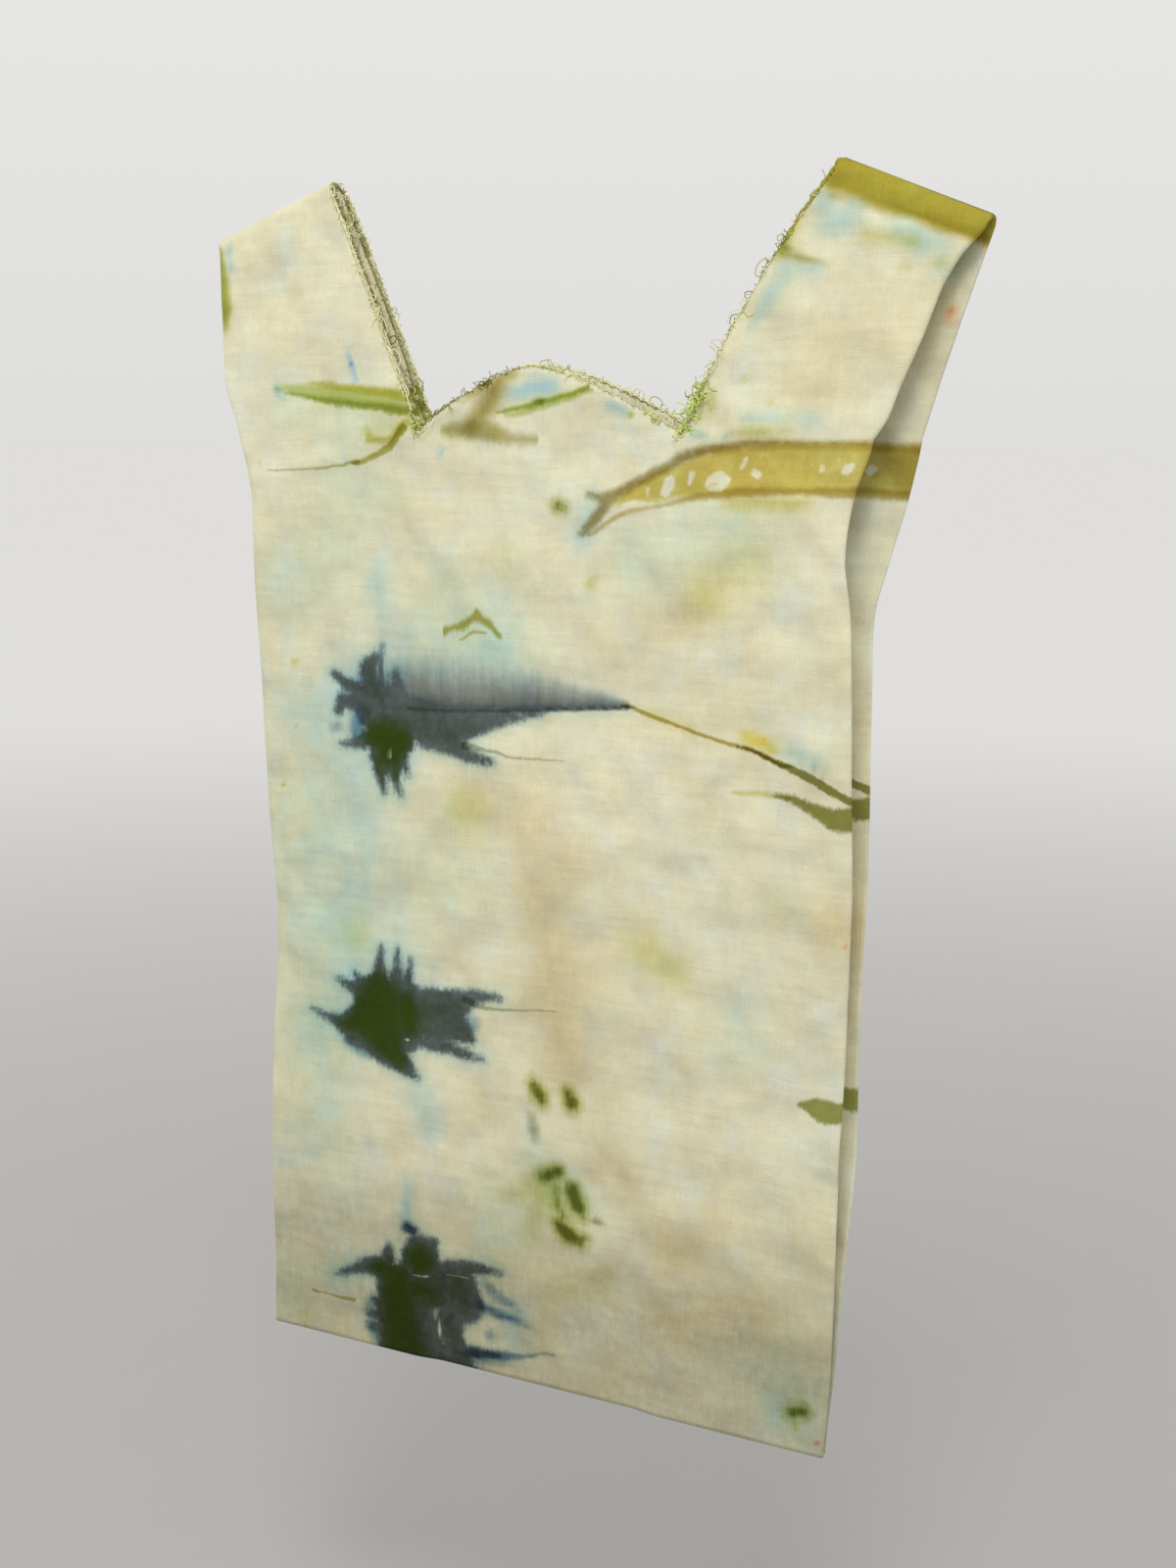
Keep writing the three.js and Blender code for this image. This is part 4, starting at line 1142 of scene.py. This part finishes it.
def curl(rng, start, heading, length, wander, droop, steps):
    """A loose strand that wanders and sags under its own weight."""
    heading = unit(heading)
    path = [start]
    turn = rng.normal(0, 1, 3)
    for _ in range(steps):
        turn = 0.6 * turn + rng.normal(0, 1, 3)
        heading = unit(heading + wander * 0.35 * turn + np.array([0, 0, -droop]))
        path.append(path[-1] + heading * length / steps)
    return np.array(path)


def keep_in_front(path, face):
    """Stop a strand from passing through the cloth behind it."""
    limit = abs(path[0][1]) + 0.45
    path = path.copy()
    depth = path[:, 1] * face
    path[1:, 1] = face * np.maximum(depth[1:], np.minimum(limit, depth[1:] + 2))
    return path


def stub_yarns(rng, edge, away, richness):
    """Short ends that stick out all along the edge."""
    for s in np.arange(0.8, edge.total - 0.8, 0.62 / richness):
        here, tangent, out, dye = edge.at(s + rng.uniform(-0.3, 0.3))
        length = rng.gamma(2.2, 0.75) + 0.5
        heading = out + tangent * rng.normal(0, 0.55) + away * rng.normal(0.12, 0.4)
        start = here - out * 0.25 + away * rng.uniform(-0.2, 0.2)
        path = curl(rng, start, heading, length, 0.75, 0.06, 5)
        yield path, YARN_RADIUS * rng.uniform(0.6, 1.0), yarn_colour(rng, dye)


def ravelled_yarns(rng, edge, away, richness):
    """Yarns of the weave that came away and wave along the edge."""
    for _ in range(int(edge.total / 7.5 * richness)):
        s, length = rng.uniform(2, edge.total - 12), rng.uniform(12, 46)
        count = max(int(length / 1.3), 6)
        off, phase = rng.uniform(0.1, 1.5), rng.uniform(0, 6.28)
        lift, waves = rng.normal(0.1, 0.45), rng.uniform(2.5, 5.5)
        path = []
        for i in range(count + 1):
            t = i / count
            here, _, out, dye = edge.at(s + length * t)
            rise = math.sin(math.pi * t) ** 0.4
            sway = 0.55 * math.sin(phase + length * t * 6.28 / waves)
            path.append(here + out * ((off + sway) * rise + 0.15) + away * (lift + 0.4 * sway) * rise)
        yield np.array(path), YARN_RADIUS * rng.uniform(0.75, 1.1), yarn_colour(rng, dye)


def loop_yarns(rng, edge, away, richness):
    """Loops that leave the edge and come back to it."""
    for _ in range(int(edge.total / 13 * richness)):
        s, width = rng.uniform(2, edge.total - 8), rng.uniform(2, 7)
        here, tangent, out, dye = edge.at(s)
        there = edge.at(s + width)[0]
        height, side = rng.uniform(1.2, 4.8), rng.normal(0, 1.4)
        path = []
        for t in (i / 12 for i in range(13)):
            arch = math.sin(math.pi * t)
            bulge = tangent * 0.35 * width * math.sin(2 * math.pi * t)
            path.append(mix(here, there, t) - bulge + out * height * arch + away * side * arch * 0.7
                        + rng.normal(0, 0.12, 3))
        yield np.array(path), YARN_RADIUS * rng.uniform(0.8, 1.1), yarn_colour(rng, dye)


def tangled_yarns(rng, edge, face, tangles):
    """Knots of yarn: each tangle is a place along the edge, a count and a size."""
    away = np.array([0, face, 0.0])
    for s, count, size in tangles:
        for _ in range(count):
            here, tangent, out, dye = edge.at(s + rng.normal(0, size * 0.9))
            heading = out * rng.uniform(-0.2, 0.8) + tangent * rng.normal(0, 0.8)
            heading = heading + away * rng.uniform(0.2, 0.9)
            start = here + out * rng.uniform(-0.3, 0.4)
            path = curl(rng, start, heading, size * rng.uniform(0.9, 2.6), 1.9, 0.02, 16)
            tint = yarn_colour(rng, dye) * rng.uniform(0.8, 1.15) * TANGLE_TINT
            yield keep_in_front(path, face), YARN_RADIUS * rng.uniform(1.0, 1.35), tint


def loose_yarns(rng, edge, face, richness):
    away = np.array([0, face, 0.0])
    return [strand for kind in (stub_yarns, ravelled_yarns, loop_yarns)
            for strand in kind(rng, edge, away, richness)]


def long_threads(rng, edge, face, threads, scale=1):
    """Single long threads that hang from the edge."""
    for share, length, wander, droop, lean in threads:
        here, tangent, out, dye = edge.at(share * edge.total)
        heading = out + tangent * lean + np.array([0, face * 0.25, 0])
        path = curl(rng, here - out * 0.2, heading, length * scale, wander, droop, 22)
        yield keep_in_front(path, face), YARN_RADIUS, yarn_colour(rng, dye)


# Share of the edge's length, thread length, wander, droop and lean along the edge
MOUTH_THREADS = [(0.25, 14, 0.9, 0.18, 0.3), (0.36, 9, 1.1, 0.1, -0.6), (0.66, 10, 1.0, 0.2, 0.4)]
STRAP_THREADS = [
    (0.10, 20, 0.8, 0.22, -0.2), (0.17, 13, 1.2, 0.15, 0.5), (0.77, 18, 0.9, 0.25, -0.3),
    (0.86, 22, 0.8, 0.3, 0.4), (0.93, 12, 1.2, 0.12, -0.5), (0.05, 9, 1.3, 0.05, 0.4),
    (0.81, 12, 1.0, 0.1, 0.8),
]


def build_mouth_fray(rng, face, name, run):
    edge = RawEdge(run, True)
    left, right = (edge.nearest(MOUTH_X + side * NOTCH_HALF, NOTCH_Z) for side, _ in SIDES)
    tangles = [(left, 16, 3.2), (right + 6, 26, 4.4), (right + 15, 46, 4.8), (left + 42, 10, 2.4),
               (right + 92, 8, 2.2), (right - 16, 10, 2.2)]
    strands = loose_yarns(rng, edge, face, 1.0)
    strands += tangled_yarns(rng, edge, face, tangles)
    strands += long_threads(rng, edge, face, MOUTH_THREADS + STRAP_THREADS)
    build_threads(f"{name}_mouth_fray", strands, "loose_yarn")


def build_gusset_fray(rng, face, name, run):
    """Yarns between the outer layers, olive with dye and darkened with painted shade of the gap; only the
    edge above the seam is raw.
    """
    points, flat = run
    raw = points[:, 2] > NOTCH_Z + 8
    edge = RawEdge((points[raw], flat[raw]), False)
    # painted shade: these yarns are darkened as the gap between the layers would be
    strands = [(path, radius, colour * FOLD_OLIVE_AND_SHADE)
               for path, radius, colour in loose_yarns(rng, edge, -face * 0.6, 0.55)]
    strands += long_threads(rng, edge, -face * 0.3, STRAP_THREADS, 0.8)
    build_threads(name, strands, "loose_yarn")


def stitches(points, swing, pitch, radius):
    """One thread that swings from side to side as it runs along a line of points."""
    along = length_along(points)
    s = np.arange(0, along[-1], pitch / 8)
    turn = 2 * np.pi * s / pitch
    path = point_at(s, along, points) + np.outer(np.sin(turn), swing[0]) + np.outer(np.cos(turn), swing[1])
    return path, radius, np.array(CLOTH_PALE) * 1.08


def build_seam(node, x, z, swing, pitch, radius):
    line = np.stack(np.broadcast_arrays(x, 0.0, z), 1)
    build_threads(node, [stitches(line, swing, pitch, radius)], "sewing_thread")


def build_seams():
    for side, name in SIDES:
        z = np.linspace(HEM_Z + 24, NOTCH_Z - 0.5, 60)
        x = centre_x(z) + side * (NOTCH_HALF - SEAM_GAP)
        build_seam(f"side_seam_{name}", x, z, ((side * 0.9, 0, 0), (0, 0.12, 0)), 3.2, 0.22)
        inner, _, along = saddle_axis(side)
        lift = (INNER_RADIUS + OUTER_RADIUS) / 2
        share = np.linspace(0.5, STRAP_TOP - PITCH, 30)
        x = inner[0] + along[0] * share + side * lift * math.sin(SLOPE)
        z = inner[1] + along[1] * share + lift * math.cos(SLOPE)
        build_seam(f"shoulder_seam_{name}", x, z, ((0, 0.9, 0), (0, 0, 0.10)), 2.6, 0.2)
    z = HEM_Z + 3
    x = np.linspace(centre_x(z) - HALF_WIDTH + PITCH, centre_x(z) + HALF_WIDTH - PITCH - 1, 40)
    build_seam("bottom_seam", x, z, ((0, 0.05, 0), (0, 0, 0.35)), 2.6, 0.22)


BUILT = {name: build_cloth(face, name) for face, name in FACES}
for face, name in FACES:
    rng = np.random.default_rng(40 + face)
    runs = BUILT[name][1]
    build_mouth_fray(rng, face, name, runs["mouth"])
    for _, side in SIDES:
        build_gusset_fray(rng, face, f"{name}_gusset_fray_{side}", runs[f"gusset_{side}"])
build_seams()


# ---------------------------------------------------------------- stage, light and camera
# painted shade on the floor near the middle, painted light far out
FLOOR_SHADED_NEAR = (0.44, 0.43, 0.42)
FLOOR_LIT_FAR = (0.93, 0.925, 0.915)
FLOOR_Z = -760.0
FLOOR_REACH = 40000.0


def floor_material():
    """Matt pale paint, deeper near the middle than far out: painted shade near the middle and painted light
    far out.
    """
    n = Nodes("floor_paint")
    place = n.add("ShaderNodeTexCoord", "Object")
    reach = n.add("ShaderNodeVectorMath", "Value", operation="LENGTH", inputs={0: place})
    base = n.mixed(FLOOR_SHADED_NEAR, FLOOR_LIT_FAR, n.step(reach, 0.3, 4.2))
    mottle = n.noise(place, 14.0, 4)
    n.surface(Base_Color=n.shaded(base, n.times_plus(mottle, 0.012, 1.0)), Roughness=0.9,
              Specular_IOR_Level=0.2)
    return n.material


def build_floor():
    """A wide pale floor well below the object."""
    turns = np.linspace(0, 2 * np.pi, 64, endpoint=False)
    rim = [(FLOOR_REACH * math.cos(a), FLOOR_REACH * math.sin(a), FLOOR_Z) for a in turns]
    faces = [(0, 1 + i, 1 + (i + 1) % len(turns)) for i in range(len(turns))]
    return make_mesh("floor", [(0, 0, FLOOR_Z)] + rim, faces, floor_material())


def area_light(name, at, toward, size, power, colour):
    light = bpy.data.lights.new(name, "AREA")
    light.shape = "DISK"
    light.size = size
    light.energy = power
    light.color = colour
    obj = bpy.data.objects.new(name, light)
    obj.location = at
    obj.rotation_euler = (Vector(toward) - Vector(at)).to_track_quat("-Z", "Y").to_euler()
    bpy.context.collection.objects.link(obj)
    return obj


def build_world():
    """Soft even light from all round, a little stronger above the horizon."""
    world = bpy.data.worlds.new("studio")
    world.use_nodes = True
    tree = world.node_tree
    place = tree.nodes.new("ShaderNodeTexCoord")
    split = tree.nodes.new("ShaderNodeSeparateXYZ")
    level = tree.nodes.new("ShaderNodeMapRange")
    tree.links.new(place.outputs["Generated"], split.inputs[0])
    tree.links.new(split.outputs["Z"], level.inputs["Value"])
    for name, value in (("From Min", -0.01), ("From Max", 0.16), ("To Min", 0.738), ("To Max", 0.79)):
        level.inputs[name].default_value = value
    background = tree.nodes["Background"]
    background.inputs["Color"].default_value = (1.0, 0.993, 0.978, 1)
    tree.links.new(level.outputs[0], background.inputs["Strength"])
    bpy.context.scene.world = world


CAMERA_AT = (0.4578, -0.8318, -0.0832)
AZIMUTH, PITCH_DOWN, ROLL = (math.radians(a) for a in (28.31, 9.97, 0.54))


def build_camera():
    data = bpy.data.cameras.new("camera")
    data.sensor_fit = "AUTO"
    data.sensor_width = 36.0
    data.lens = 49.73
    data.clip_start, data.clip_end = 0.05, 60.0
    forward = Vector((-math.sin(AZIMUTH) * math.cos(PITCH_DOWN), math.cos(AZIMUTH) * math.cos(PITCH_DOWN),
                      -math.sin(PITCH_DOWN)))
    right = forward.cross(Vector((0, 0, 1))).normalized()
    up = right.cross(forward)
    tilted = right * math.cos(ROLL) + up * math.sin(ROLL)
    above = up * math.cos(ROLL) - right * math.sin(ROLL)
    obj = bpy.data.objects.new("camera", data)
    obj.matrix_world = Matrix((
        (tilted.x, above.x, -forward.x, CAMERA_AT[0]),
        (tilted.y, above.y, -forward.y, CAMERA_AT[1]),
        (tilted.z, above.z, -forward.z, CAMERA_AT[2]),
        (0, 0, 0, 1)))
    bpy.context.collection.objects.link(obj)
    bpy.context.scene.camera = obj


KEY = area_light("key_light", (0.43, -1.0, 0.95), (0, 0, -0.12), 0.5, 10, (1.0, 0.985, 0.955))
FILL = area_light("fill_light", (-1.6, -0.7, 0.9), (0, 0, -0.1), 1.0, 4, (0.97, 0.985, 1.0))
build_world()
build_floor()
build_camera()
bpy.context.scene.view_settings.view_transform = "Standard"
bpy.context.scene.view_settings.look = "None"
